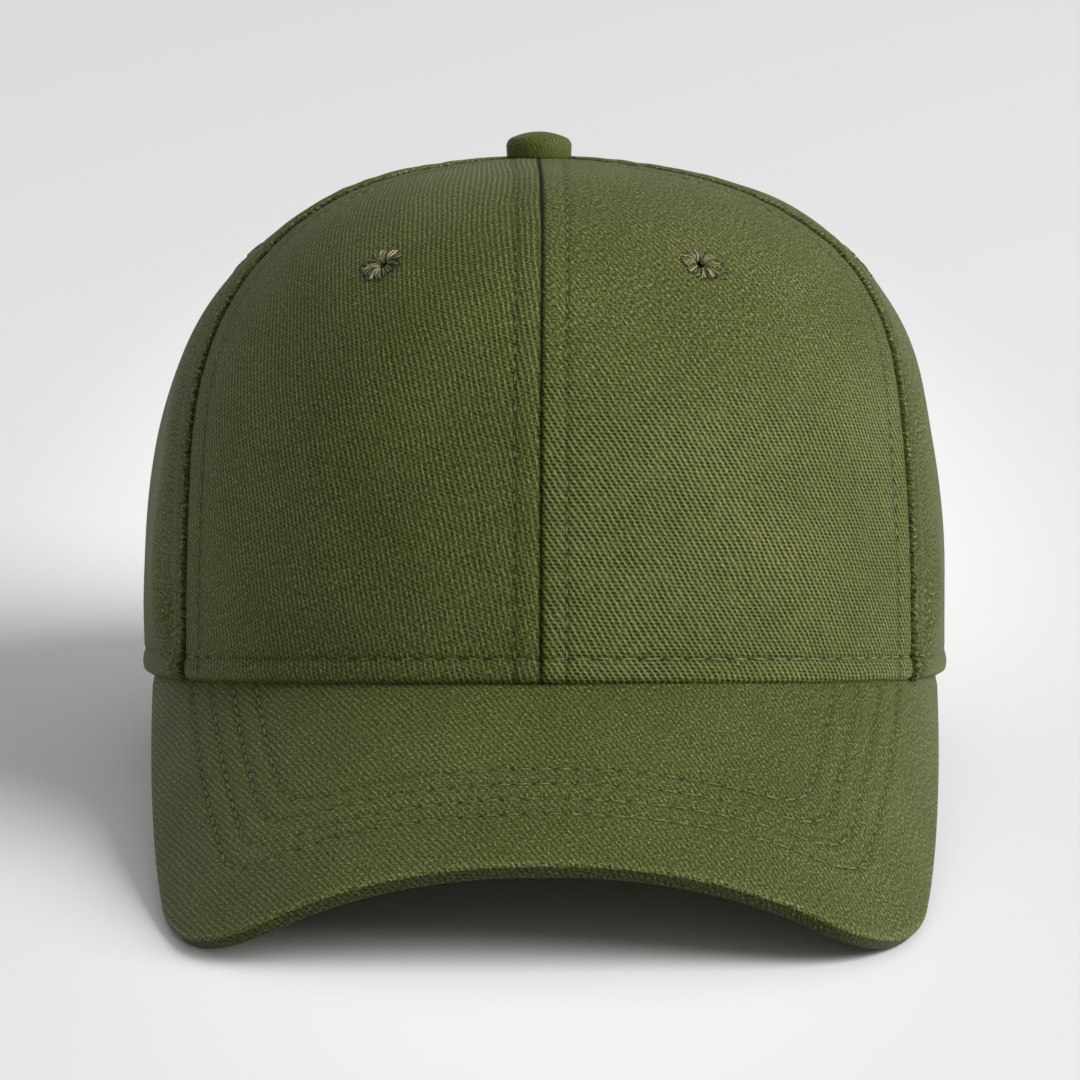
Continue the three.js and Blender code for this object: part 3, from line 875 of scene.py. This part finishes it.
def peak_point(across, forward, depth):
    """A point depth mm under the top of the bent board, and the surface's normal there."""
    side, distance = np.where(across < 0, -1.0, 1.0), np.abs(across)
    x = np.interp(distance, section_length, section_x)
    sag = np.interp(distance, section_length, section_sag)
    turn = np.interp(distance, section_length, section_turn)
    drop = sag + depth * np.cos(turn)
    point = np.stack([
        side * (x - depth * np.sin(turn)),
        -FRONT_REACH - forward * math.cos(SLOPE) + drop * math.sin(SLOPE),
        -forward * math.sin(SLOPE) - drop * math.cos(SLOPE),
    ], -1)
    normal = np.stack([
        side * np.sin(turn), -np.cos(turn) * math.sin(SLOPE), np.cos(turn) * math.cos(SLOPE),
    ], -1)
    return point, normal


def bezier(handles, count):
    """Points of a curve with four handles."""
    handles = np.array(handles, float)
    t = np.linspace(0, 1, count)[:, None]
    start = (1 - t) ** 3 * handles[0] + 3 * (1 - t) ** 2 * t * handles[1]
    return start + 3 * (1 - t) * t * t * handles[2] + t**3 * handles[3]


half_outline = np.concatenate([bezier(curve, 60)[(k > 0):] for k, curve in enumerate(PEAK_CURVES)])
outline_run = lengths_along(half_outline)
print("peak outline, one side, mm:", outline_run[-1].round(1))

# %% [markdown]
# ## Four rows of stitches
#
# The peak is quilted with four rows that follow its edge, 17.9 mm in and then
# every 5.3 mm. Each row is a straight run across the front, a round corner and a
# run back along the side until it goes under the crown. The rows follow two plain
# curves, one for the front edge and one for the side, that lie close to the outline.

# %% Peak stitch rows
FIRST_ROW, ROW_SPACING, ROW_CORNER = 17.9, 5.3, 10.0


def side_across(forward):
    """How far out the side of the peak is, this far forward."""
    return 92.3 - 0.17 * forward - 0.0009 * forward**2


def front_forward(across):
    """How far forward the front of the peak is, this far across."""
    return 64.0 - 1.5 * np.clip(np.abs(across) / 45, 0, 1) ** 2


def row_path(inset):
    """Half a row in the flat pattern, from the middle of the front to the crown."""
    corner = np.array([0.0, front_forward(60) - inset])
    corner[0] = side_across(corner[1]) - inset
    x = np.linspace(0, corner[0] - ROW_CORNER, 40)
    front = np.stack([x, front_forward(x) - inset], 1)
    y = np.linspace(corner[1] - ROW_CORNER, -60, 80)
    side = np.stack([side_across(y) - inset, y], 1)
    t = np.linspace(0, 1, 16)[1:-1, None]
    turn = (1 - t) ** 2 * front[-1] + 2 * (1 - t) * t * corner + t**2 * side[0]
    return np.concatenate([front, turn, side])


def peak_row(inset):
    """A whole row, as far as the rim of the crown lets it be seen."""
    half = row_path(inset)
    rim_forward = rim_section(np.interp(np.abs(half[:, 0]), section_length, section_angles))[2]
    half = half[half[:, 1] > rim_forward + 0.4]
    return np.concatenate([half[:0:-1] * [-1, 1], half])


peak_rows = [peak_row(FIRST_ROW + ROW_SPACING * k) for k in range(4)]
print("stitch rows of the peak, mm long:", [int(lengths_along(row)[-1]) for row in peak_rows])

# %% [markdown]
# ## The peak's cover, laid flat
#
# The grid's columns run from one end of the peak round to the other. Its rows go
# out over the top, round the edge and back underneath, so the cloth wraps the
# board as the real cover does and the ribs run over the edge without a break.

# %% The flat cover
EDGE_ROUND, CORNER_STEPS = 0.7, 6
HALF_COLUMNS, OUT_ROWS = 128, 74


def outline_at(walked):
    """The point of the half outline after walking this many mm along it."""
    return np.stack([np.interp(walked, outline_run, half_outline[:, k]) for k in (0, 1)], 1)


# Steps round the edge of the board: inset from the outline, and depth
quarter = np.linspace(0, math.pi / 2, CORNER_STEPS)
top_corner = [(EDGE_ROUND * (1 - math.sin(t)), EDGE_ROUND * (1 - math.cos(t))) for t in quarter]
low_corner = [(inset, PEAK_THICKNESS - depth) for inset, depth in reversed(top_corner)]
edge = np.array(top_corner + [(0.0, PEAK_THICKNESS / 2)] + low_corner)
edge_run = lengths_along(edge)
profile_rows = 2 * OUT_ROWS + len(edge) - 1
peak, i, j = cloth_grid("peak_cover", 2 * HALF_COLUMNS, profile_rows)
on_top, below = j <= OUT_ROWS, j >= profile_rows - OUT_ROWS
is_edge, on_edge = ~on_top & ~below, np.clip(j - OUT_ROWS, 0, len(edge) - 1)

# From the crown's rim to the outline, and square to the outline
turn = (i - HALF_COLUMNS) / HALF_COLUMNS
side, share = np.where(turn < 0, -1.0, 1.0), np.abs(turn)
theta, walked = share * PEAK_END, share * outline_run[-1]
inner_forward = rim_section(theta)[2] - PEAK_TUCK * np.cos(theta)
inner = np.stack([np.interp(theta, section_angles, section_length), inner_forward], 1)
outer = outline_at(walked)
outer[:, 0] = np.maximum(outer[:, 0], inner[:, 0] + 1.6 * share**6)
edge_way = unit(outline_at(walked + 0.5) - outline_at(walked - 0.5))
outward = np.stack([-edge_way[:, 1], edge_way[:, 0]], 1)
outward *= np.where((outward * (outer - inner)).sum(1) < 0, -1, 1)[:, None]

# Out over the top, round the edge and back
fits = np.minimum(1.0, np.linalg.norm(outer - inner, axis=1) / (2 * EDGE_ROUND))
start_of_edge = outer - outward * (EDGE_ROUND * fits)[:, None]
out_share = np.minimum(fade(j, 0, OUT_ROWS), fade(j, profile_rows, profile_rows - OUT_ROWS))
flat = inner + (start_of_edge - inner) * out_share[:, None]
flat = np.where(is_edge[:, None], outer - outward * (edge[on_edge, 0] * fits)[:, None], flat)
depth = np.where(is_edge, edge[on_edge, 1], np.where(on_top, 0.0, PEAK_THICKNESS))
over = np.where(is_edge, edge_run[on_edge] - (EDGE_ROUND - edge[on_edge, 0]), 0)
cloth_flat = flat + outward * over[:, None]
cloth_flat = np.where(below[:, None], flat + outward * edge_run[-1], cloth_flat)
cloth_flat *= np.stack([side, -np.ones_like(side)], 1)
print("the cover goes", edge_run[-1].round(2), "mm round the edge")

# %% [markdown]
# ## The peak's relief
#
# Each row of stitches is pulled into the cover, which swells a little on both sides
# of it, and the cloth between the rows is not quite even. The cloth is paler along the
# edge, and painted shade darkens the lower half of the edge band and the grooves of the
# rows. The loose rim of the cover is then closed along the hidden inner edge, so the
# peak is one closed form.

# %% The peak
ROW_PULL, ROW_SWELL, PEAK_WANDER = 0.22, 0.05, 0.1
PEAK_RIB_ANGLE, PEAK_RIBBED = 64, ((0, 60), (0.52, 0.36))


def distance_to(path, points):
    """The distance from flat points to a flat path, in mm."""
    best = np.full(len(points), 1e9)
    for start, end in zip(path[:-1], path[1:]):
        line = end - start
        share = np.clip(((points - start) @ line) / max(line @ line, 1e-9), 0, 1)
        best = np.minimum(best, np.linalg.norm(points - (start + share[:, None] * line), axis=1))
    return best


groove, near = np.zeros((2, len(flat)))
for row in peak_rows:
    gap = distance_to(row[len(row) // 2 :], flat)
    groove -= ROW_PULL * bump_at(gap, 0, 0.6)
    near += bump_at(gap, 1.9, 0.9)
inset_now = distance_to(half_outline, flat)
quilt = ROW_SWELL * near + PEAK_WANDER * wander(flat[:, 0] * side, flat[:, 1], 55, 2)
face_side = np.where(on_top, 1.0, np.where(below, -1.0, 0.0))
relief = face_side * (groove + quilt * fade(inset_now, 0, 6))
points, normals = peak_point(flat[:, 0] * side, flat[:, 1], PEAK_GAP + depth)
# Paler along the rolled edge; painted shade on the lower half of the edge band
lightened_and_shaded = 0.3 * bump_at(inset_now, 0.7, 0.5) - np.where(is_edge & (edge[on_edge, 1] > 0.5), 1.0, 0.0)
# Painted shade in the grooves of the stitch rows
lightened_and_shaded = lightened_and_shaded - 0.4 * fade(-groove, 0, ROW_PULL)
ribbed = np.interp(flat[:, 0] * side, *PEAK_RIBBED)
place(peak, points + normals * relief[:, None], cloth_flat, PEAK_RIB_ANGLE, lightened_and_shaded, ribbed)

activate(peak)
bpy.ops.object.mode_set(mode="EDIT")
bpy.ops.mesh.select_all(action="SELECT")
bpy.ops.mesh.remove_doubles(threshold=1e-6)
bpy.ops.mesh.select_all(action="DESELECT")
bpy.ops.mesh.select_mode(type="EDGE")
bpy.ops.mesh.select_non_manifold(
    extend=False, use_multi_face=False, use_non_contiguous=False, use_verts=False,
)
bpy.ops.mesh.edge_face_add()
bpy.ops.mesh.select_all(action="SELECT")
bpy.ops.mesh.normals_make_consistent(inside=False)
bpy.ops.object.mode_set(mode="OBJECT")
finish_piece(peak, olive_twill, "twill", "peak")

# %% [markdown]
# ## The peak's stitches
#
# The rows are sewn through the board, so they show on both faces. They lie low in
# their grooves, except across the right of the front, where they are looser and
# catch the light.

# %% Stitches on the peak
PEAK_PITCH = 4.1
peak_sewing, needle_hole_shade = [], []
for row in peak_rows:
    for depth_here, flip in ((PEAK_GAP, 1), (PEAK_GAP + PEAK_THICKNESS, -1)):
        path, up = peak_point(row[:, 0], row[:, 1], np.full(len(row), depth_here))
        low = path - up * flip * 0.15
        slack = fade(row[:, 0], 5, 25) * fade(row[:, 1], row[:, 1].max() - 10, row[:, 1].max() - 5)
        peak_sewing.append(stitches_on(low, up * flip, PEAK_PITCH, lift=-0.04 + 0.24 * slack))
        needle_hole_shade.append(hole_shade_on(low, up * flip, PEAK_PITCH, 0.28))
sew("peak_stitches", peak_sewing, seam_thread)

# %% [markdown]
# ## Stitches on the crown
#
# A topstitched line runs up on either side of every seam, and one goes round above
# the rim. They follow the finished surface, so they sit in the lines that the
# panels already have.

# %% Crown stitches
def meridian(theta):
    """Climbs from the rim to the top, and how many mm up the surface each one is."""
    climbs = np.linspace(0, math.pi / 2, 200)
    return climbs, lengths_along(crown(np.full(200, theta), climbs))


def climb_at(theta, run):
    """The climb of the point that is run mm up from the rim."""
    climbs, lengths = meridian(theta)
    return np.interp(run, lengths, climbs)


def crown_row(name, thetas, climbs):
    """Path and normals of a stitch line on a finished panel, given the line's angles."""
    runs = np.array([np.interp(climb, *meridian(theta)) for theta, climb in zip(thetas, climbs)])
    flat = np.stack([np.zeros_like(runs), runs], 1)
    return panel_surface(name, thetas, climbs, runs, flat)[0], crown_normal(thetas, climbs)


def beside_seam(seam, direction, reach):
    """Angles of a line that stays reach mm from a seam, from the rim to near the button."""
    climbs = np.linspace(0.02, math.radians(86.5), 90)
    thetas = seam_theta(seam, climbs) + direction * 1e-3
    for _ in range(5):
        missing = reach - seam_distance(crown(thetas, climbs), seam, climbs)
        thetas = thetas + direction * missing / mm_per_radian(thetas, climbs)
    return thetas, climbs


crown_sewing = []
for name, seams in PANELS.items():
    for seam, direction in zip(seams, (1, -1)):
        thetas, climbs = beside_seam(seam, direction, stitch_reach(seam))
        path, up = crown_row(name, thetas, climbs)
        left, right = sides_of(name, climbs)
        share = (thetas - left) % (2 * math.pi) / (right - left)
        keep = ((share < 0.5) if direction > 0 else (share > 0.5)) & (arch_gap(path) > 6.0)
        crown_sewing.append(stitches_on(path[keep], up[keep], CROWN_PITCH, lift=-0.08))
        needle_hole_shade.append(hole_shade_on(path[keep], up[keep], CROWN_PITCH, 0.22))
    start, end = (float(angle) for angle in sides_of(name, 0.0))
    thetas = np.linspace(start + 0.01, end - 0.01, 60)
    path, up = crown_row(name, thetas, np.array([climb_at(theta, RIM_STITCH) for theta in thetas]))
    keep = arch_gap(path) > 6.0
    loose = 0.14 * fade(path[keep][:, 0], 0, 20) - 0.06
    crown_sewing.append(stitches_on(path[keep], up[keep], RIM_PITCH, lift=loose, fill=0.8))
    needle_hole_shade.append(hole_shade_on(path[keep], up[keep], RIM_PITCH, 0.5))
sew("crown_stitches", crown_sewing, seam_thread)
sew("needle_hole_shade", needle_hole_shade, painted_hole_shade)

# %% [markdown]
# ## The button
#
# A tin button covered with the cap's own cloth. It starts as a cylinder with its
# edges bevelled and its faces inset, and is then raised into a low dome. The cloth
# is gathered under it, so fine pleats run up its wall.

# %% The button
BUTTON_RADIUS, BUTTON_WALL, BUTTON_DOME, BUTTON_BEVEL = 7.0, 4.3, 2.0, 1.1
BUTTON_AT = (0.0, 0.0, HEIGHT - 0.3)
PLEATS, PLEAT_DEPTH, GATHER = 17, 0.14, 0.3

bpy.ops.object.select_all(action="DESELECT")
bpy.ops.mesh.primitive_cylinder_add(vertices=72, radius=BUTTON_RADIUS, depth=BUTTON_WALL)
button = bpy.context.active_object
button.name = button.data.name = "top_button_cloth"
bpy.ops.object.mode_set(mode="EDIT")
bpy.ops.mesh.select_all(action="DESELECT")
bpy.ops.mesh.select_mode(type="FACE")
bpy.ops.object.mode_set(mode="OBJECT")
for face in button.data.polygons:
    face.select = abs(face.normal.z) > 0.9
bpy.ops.object.mode_set(mode="EDIT")
bpy.ops.mesh.region_to_loop()
bpy.ops.mesh.bevel(offset=BUTTON_BEVEL, segments=6, affect="EDGES")
bpy.ops.mesh.select_mode(type="FACE")
bpy.ops.object.mode_set(mode="OBJECT")
for face in button.data.polygons:
    face.select = len(face.vertices) > 8
bpy.ops.object.mode_set(mode="EDIT")
for _ in range(9):
    bpy.ops.mesh.inset(thickness=0.56)
bpy.ops.object.mode_set(mode="OBJECT")

ball = np.array([vertex.co for vertex in button.data.vertices])
azimuth, out = np.arctan2(ball[:, 1], ball[:, 0]), np.hypot(ball[:, 0], ball[:, 1])
upper = fade(ball[:, 2], 0, BUTTON_WALL / 2)
level = ball[:, 2] + BUTTON_WALL / 2 + BUTTON_DOME * upper * (1 - (out / (BUTTON_RADIUS + 0.4)) ** 2)
gather = np.clip((BUTTON_WALL * 0.7 - level) / BUTTON_WALL, 0, 1)
pleat = PLEAT_DEPTH * gather * np.sin(azimuth * PLEATS + 2 * np.sin(azimuth * 3))
ball[:, :2] *= ((out - GATHER * gather + pleat) / np.maximum(out, 0.01))[:, None]
points = np.stack([ball[:, 0], ball[:, 1], level], 1) + np.array(BUTTON_AT)
cut = out + np.clip(BUTTON_WALL - level, 0, None)
place(button, points, np.stack([cut * np.cos(azimuth), cut * np.sin(azimuth)], 1), 62)
finish_piece(button, button_twill, "twill", "top_button")

# %% [markdown]
# ## Eyelets
#
# Each air hole is bound with radial embroidery, about fifty turns of thread that
# come up through the hole and go down 4.4 mm away. One thread is modelled as a
# bent cylinder, and its copies differ in length, height and paleness, which gives
# the frayed look of the real thing. Below the hole the thread pulls the cloth open
# where it goes down, and small nearly black beads of painted shade end the strands there.

# %% Eyelets
EYELET_TURNS, EYELET_REACH, EYELET_HOLE, STRAND_HALF_WIDTH = 50, 4.35, 0.85, 0.16
eyelet_pit_shade = []
eyelet_rng = np.random.default_rng(11)

bpy.ops.object.select_all(action="DESELECT")
bpy.ops.mesh.primitive_cylinder_add(vertices=6, radius=1.0, depth=1.0, rotation=(0, math.pi / 2, 0))
strand = bpy.context.active_object
bpy.ops.object.transform_apply(rotation=True)
bpy.ops.object.mode_set(mode="EDIT")
bpy.ops.mesh.select_all(action="DESELECT")
bpy.ops.object.mode_set(mode="OBJECT")
for side_edge in strand.data.edges:
    start, end = (strand.data.vertices[v].co for v in side_edge.vertices)
    side_edge.select = abs(start.x - end.x) > 0.5
bpy.ops.object.mode_set(mode="EDIT")
bpy.ops.mesh.select_mode(type="EDGE")
bpy.ops.mesh.subdivide(number_cuts=7)
bpy.ops.object.mode_set(mode="OBJECT")
strand_points = np.array([vertex.co for vertex in strand.data.vertices])
strand_faces = [tuple(face.vertices) for face in strand.data.polygons]
bpy.data.objects.remove(strand)


def make_eyelet(panel):
    """The embroidery of one air hole: every turn of thread is a copy of the strand."""
    theta, climb = eyelet_at(panel)
    normal = crown_normal(theta, climb)
    upward = unit(crown(theta, climb + 1e-3) - crown(theta, climb))
    right = np.cross(upward, normal)
    centre = crown(theta, climb) + normal * cloth_lift[panel]
    points, faces, paleness = [], [], []
    t = strand_points[:, 0] + 0.5
    for k in range(EYELET_TURNS):
        angle = 2 * math.pi * (k + eyelet_rng.normal(0, 0.3)) / EYELET_TURNS
        hole = EYELET_HOLE * (1 + 0.45 * math.sin(angle) ** 2) + eyelet_rng.normal(0, 0.06)
        reach = EYELET_REACH + eyelet_rng.normal(0, 0.42)
        thick = STRAND_HALF_WIDTH + eyelet_rng.normal(0, 0.02)
        way = hole + (reach - hole) * t
        rise = -0.9 + 1.0 * fade(t, 0, 0.28) ** 0.6 - 0.45 * fade(t, 0.3, 1.0) ** 2.2
        rise = rise + eyelet_rng.normal(0, 0.09)
        swerve = eyelet_rng.normal(0, 0.2) * np.sin(math.pi * t)
        aside = swerve + strand_points[:, 1] * thick * (0.75 + 0.5 * t)
        high = rise + strand_points[:, 2] * thick
        spoke = right * math.cos(angle) + upward * math.sin(angle)
        cross = upward * math.cos(angle) - right * math.sin(angle)
        faces += [tuple(v + len(points) * len(t) for v in face) for face in strand_faces]
        points.append(centre + way[:, None] * spoke + aside[:, None] * cross + high[:, None] * normal)
        paleness.append(np.full(len(t), np.clip(eyelet_rng.normal(-0.02, 0.22), -0.35, 0.45)))
        # Below the hole, a nearly black bead of painted shade at the strand's outer end
        if math.sin(angle) < 0.2:
            pit = centre + spoke * (reach + 0.15) - normal * 0.1
            eyelet_pit_shade.append([pit[None], spoke[None] * 0.42, cross[None] * 0.2, normal[None] * 0.2])
    node_name = panel.replace("panel", "eyelet")
    piece = thread_piece(node_name + "_thread", np.concatenate(points), faces)
    set_values(piece, "pale", np.concatenate(paleness))
    finish_piece(piece, eyelet_thread, "eyelet_thread", node_name)


for panel in PANELS:
    make_eyelet(panel)
sew("eyelet_pit_shade", eyelet_pit_shade, painted_hole_shade)

# %% [markdown]
# ## Sweatband and strap
#
# Inside the rim a folded cotton tape takes the sweat. At the back a strap of the
# cap's own cloth crosses the opening. Both are grids laid at a given depth inside
# the crown's surface, with a line pressed in along each edge, and thickened inwards.

# %% Sweatband and strap
BAND_DEPTH, BAND_ROWS, RIM_RADIUS = 1.95, 40, 90


def make_band(name, cad_node, angles, heights, thickness, columns, material, slot):
    """A band between two angles from the front and two heights above the rim."""
    piece, i, j = cloth_grid(name, columns, BAND_ROWS)
    thetas = np.radians(np.linspace(*angles, columns + 1))
    runs = np.linspace(*heights, BAND_ROWS + 1)
    climbs = np.array([[climb_at(theta, max(run, 0)) for run in runs] for theta in thetas])
    theta, climb, run = thetas[i], climbs[i, j], runs[j]
    base, normal = crown(theta, climb), crown_normal(theta, climb)
    base[:, 2] += np.minimum(run, 0)
    arc = theta * RIM_RADIUS
    edge = np.minimum(run - heights[0], heights[1] - run)
    lift = -BAND_DEPTH - 0.35 * np.clip(1 - edge / 0.6, 0, 1) ** 2 - 0.15 * bump_at(edge, 3.0, 0.5)
    lift = lift + 0.08 * wander(arc, run, 25, 5)
    place(piece, base + normal * lift[:, None], np.stack([arc, run], 1), 60, 0.4 * bump_at(edge, 0.3, 0.6))
    thicken(piece, thickness)
    finish_piece(piece, material, slot, cad_node)


make_band(
    "sweatband_tape", "sweatband", angles=(-145.8, 145.8), heights=(2.4, 33.4), thickness=1.1,
    columns=400, material=band_twill, slot="sweatband_twill",
)
make_band(
    "back_strap_cloth", "back_strap", angles=(147, 213), heights=(-0.4, 22.6), thickness=1.5,
    columns=130, material=olive_twill, slot="twill",
)

# %% [markdown]
# ## The bound arch
#
# The raw edge of the arch in the back panels is wrapped in a narrow strip of the
# cap's cloth and stitched through. The strip is a grid whose columns follow the
# arch and whose rows go over the outside, round the edge and a little way back
# inside. Its place on the crown is found from its width and height, by turning the
# crown's formula round.

# %% Binding of the arch
FOOT_STEPS, ARCH_STEPS, COLUMN_LENGTH = 12, 180, 0.68

# The strip's section: mm outside the cut edge of the arch, and mm over the crown's surface
BINDING = np.array((
    (4.5, 0.02), (4.3, 0.3), (3.9, 0.44), (3.3, 0.3), (2.7, 0.44), (1.5, 0.54), (0.4, 0.52), (-0.3, 0.36),
    (-0.7, -0.1), (-0.85, -0.8), (-0.7, -1.5), (-0.3, -1.8), (0.5, -1.9), (2.5, -1.9), (4.3, -1.88),
))
BINDING_STITCH = 3.3


def on_back(x, z):
    """theta and climb of the points at the back of the crown that have this x and z."""
    rise = np.clip((z + RIM_DROP) / (HEIGHT + RIM_DROP), 1e-6, 1) ** (1 / SHOULDER)
    theta = np.full_like(x, math.pi)
    for _ in range(8):
        power = ROUND_SIDE + (ROUND_BACK - ROUND_SIDE) * np.cos(theta) ** 2
        out = (1 - rise**power) ** (1 / power)
        theta = math.pi - np.arcsin(np.clip(x / (HALF_WIDTH * out), -1, 1))
    return theta, np.arctan2(rise, out)


def beside_arch(away):
    """Angles of a line that stays this far outside the arch, from the left foot to the right."""
    foot = np.linspace(0.5, ARCH_STRAIGHT, FOOT_STEPS, endpoint=False) - RIM_DROP
    t = np.linspace(0, math.pi, ARCH_STEPS)
    x = np.concatenate([np.full(FOOT_STEPS, -1.0), -np.cos(t), np.full(FOOT_STEPS, 1.0)]) * ARCH_HALF_WIDTH
    z = np.concatenate([foot, ARCH_STRAIGHT - RIM_DROP + ARCH_ROUND * np.sin(t), foot[::-1]])
    way = unit(np.stack([np.gradient(x), np.gradient(z)], 1))
    return on_back(x - away * way[:, 1], z + away * way[:, 0])


lines = np.array([beside_arch(away) for away in BINDING[:, 0]])
piece, i, j = cloth_grid("arch_binding", lines.shape[2] - 1, len(BINDING) - 1)
theta, climb = lines[j, 0, i], lines[j, 1, i]
over = lengths_along(BINDING)[j]
run = i * COLUMN_LENGTH + 0.15 * wander(i * COLUMN_LENGTH, over, 9, 4)
lift = BINDING[j, 1] + 0.05 * np.sin(2 * math.pi * run / CROWN_PITCH)
points = crown(theta, climb) + crown_normal(theta, climb) * lift[:, None]
# Painted shade darkens the binding along its stitch line
place(piece, points, np.stack([run, over], 1), 60, -0.5 * bump_at(BINDING[j, 0], BINDING_STITCH, 0.4), 0.6)
activate(piece)
bpy.ops.object.mode_set(mode="EDIT")
bpy.ops.mesh.select_all(action="SELECT")
bpy.ops.mesh.normals_make_consistent(inside=False)
bpy.ops.object.mode_set(mode="OBJECT")
finish_piece(piece, olive_twill, "twill")

# %% [markdown]
# ## Stitches at the back
#
# One row holds the binding, and two run along the strap near its edges. They are
# sewn in the same way as the others.

# %% Stitches on the binding and the strap
STRAP_STITCHES = (2.6, 19.6)
theta, climb = beside_arch(BINDING_STITCH)
path, up = crown(theta, climb), crown_normal(theta, climb)
back_sewing = [stitches_on(path, up, CROWN_PITCH, lift=0.34)]
for run in STRAP_STITCHES:
    thetas = np.radians(np.linspace(154, 206, 60))
    climbs = np.array([climb_at(theta, run) for theta in thetas])
    path, up = crown(thetas, climbs), crown_normal(thetas, climbs)
    back_sewing.append(stitches_on(path, up, CROWN_PITCH, lift=-2.03))
sew("back_stitches", back_sewing, seam_thread)

# %% [markdown]
# ## Floor and light
#
# A pale floor of matt paper, a broad soft lamp high on the right, and a weak
# even light from all round. A pool of light is painted on the paper: it is a little
# brighter round the cap than further out.

# %% Floor and light
# Size and place of the pool of light painted on the floor
GLOW_WIDTH, GLOW_DEPTH, GLOW_SHIFT = 0.15, 0.5, -0.4
KEY_AT, KEY_SIZE, KEY_POWER = (3.8, -1.5, 2.7), 3.7, 308
AROUND = 0.47


def paper_material(name, near, far):
    """Matt paper with a painted pool of light: one white near the cap and another further out."""
    material, tree = fresh_material(name)
    at = node(tree, "TexCoord", out="Object")
    shrink = (1 / GLOW_WIDTH, 1 / GLOW_DEPTH, 0.0)
    spot = node(tree, "Mapping", Vector=at, Location=(0.0, GLOW_SHIFT, 0.0), Scale=shrink)
    reach = node(tree, "VectorMath", spot, operation="LENGTH", out="Value")
    colour = fill_ramp(node(tree, "ValToRGB", reach), ((0.5, near), (1.0, far)))
    colour.node.color_ramp.interpolation = "EASE"
    shader = node(tree, "BsdfPrincipled", Base_Color=colour, Roughness=0.85, Specular_IOR_Level=0.2)
    node(tree, "OutputMaterial", Surface=shader)
    return material


def aim(thing, place_at, target):
    """Puts a lamp or a camera at a place, looking at a target."""
    thing.location = place_at
    thing.rotation_euler = (Vector(target) - Vector(place_at)).to_track_quat("-Z", "Y").to_euler()


bpy.ops.object.select_all(action="DESELECT")
bpy.ops.mesh.primitive_plane_add(size=6.0, location=(0, 0, 0))
floor = bpy.context.active_object
floor.name = "studio_floor"
floor.data.materials.append(paper_material("matt_white_paper_with_painted_light_pool", "#f3f3f3", "#e1e1e1"))
floor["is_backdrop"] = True

scene = bpy.context.scene
scene.view_settings.view_transform = "Standard"
scene.view_settings.look = "None"
scene.world = bpy.data.worlds.new("studio")
scene.world.use_nodes = True
scene.world.node_tree.nodes["Background"].inputs[0].default_value = linear("#ffffff")
scene.world.node_tree.nodes["Background"].inputs[1].default_value = AROUND

light = bpy.data.lights.new("key", "AREA")
light.shape, light.size, light.energy = "DISK", KEY_SIZE, KEY_POWER
lamp = bpy.data.objects.new("key", light)
scene.collection.objects.link(lamp)
aim(lamp, KEY_AT, (0, 0, 0.06))
print("lamp", KEY_SIZE, "m wide,", round(Vector(KEY_AT).length, 2), "m away")

# %% [markdown]
# ## Camera
#
# The camera looks from the front, 15 degrees down, from a metre and a half away, as
# for the photograph. The middle of the crown's rim lies at a known pixel of the
# photograph, and the camera is aimed so that it comes out there. At that distance
# a millimetre is 4.66 pixels wide.

# %% Camera
FOCUS_DISTANCE, CAMERA_PITCH = 1.5, math.radians(15.24)
PIXELS_PER_METRE, FRAME_PIXELS = 4660.0, 1080.0
RIM_MIDDLE_PIXEL = (545, 654)
crown_origin = to_room(np.zeros(3))
look = np.array([0.0, -math.cos(CAMERA_PITCH), math.sin(CAMERA_PITCH)])
camera_right = np.array([1.0, 0.0, 0.0])
camera_up = np.cross(camera_right, -look)
target = crown_origin + camera_right * (FRAME_PIXELS / 2 - RIM_MIDDLE_PIXEL[0]) / PIXELS_PER_METRE
target = target + camera_up * (RIM_MIDDLE_PIXEL[1] - FRAME_PIXELS / 2) / PIXELS_PER_METRE
camera = bpy.data.objects.new("camera", bpy.data.cameras.new("camera"))
scene.collection.objects.link(camera)
camera.data.sensor_width = 36.0
camera.data.lens = PIXELS_PER_METRE * FOCUS_DISTANCE * camera.data.sensor_width / FRAME_PIXELS
camera.data.clip_start, camera.data.clip_end = 0.05, 20.0
aim(camera, tuple(crown_origin + look * FOCUS_DISTANCE), tuple(target))
scene.camera = camera
print("camera lens", round(camera.data.lens, 1), "mm")

# %% [markdown]
# ## Sizes and the end
#
# The box round the finished cap is measured and printed.

# %% Sizes and the end
low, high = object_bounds()
print("visual box, m:", [round(v, 4) for v in low], [round(v, 4) for v in high])
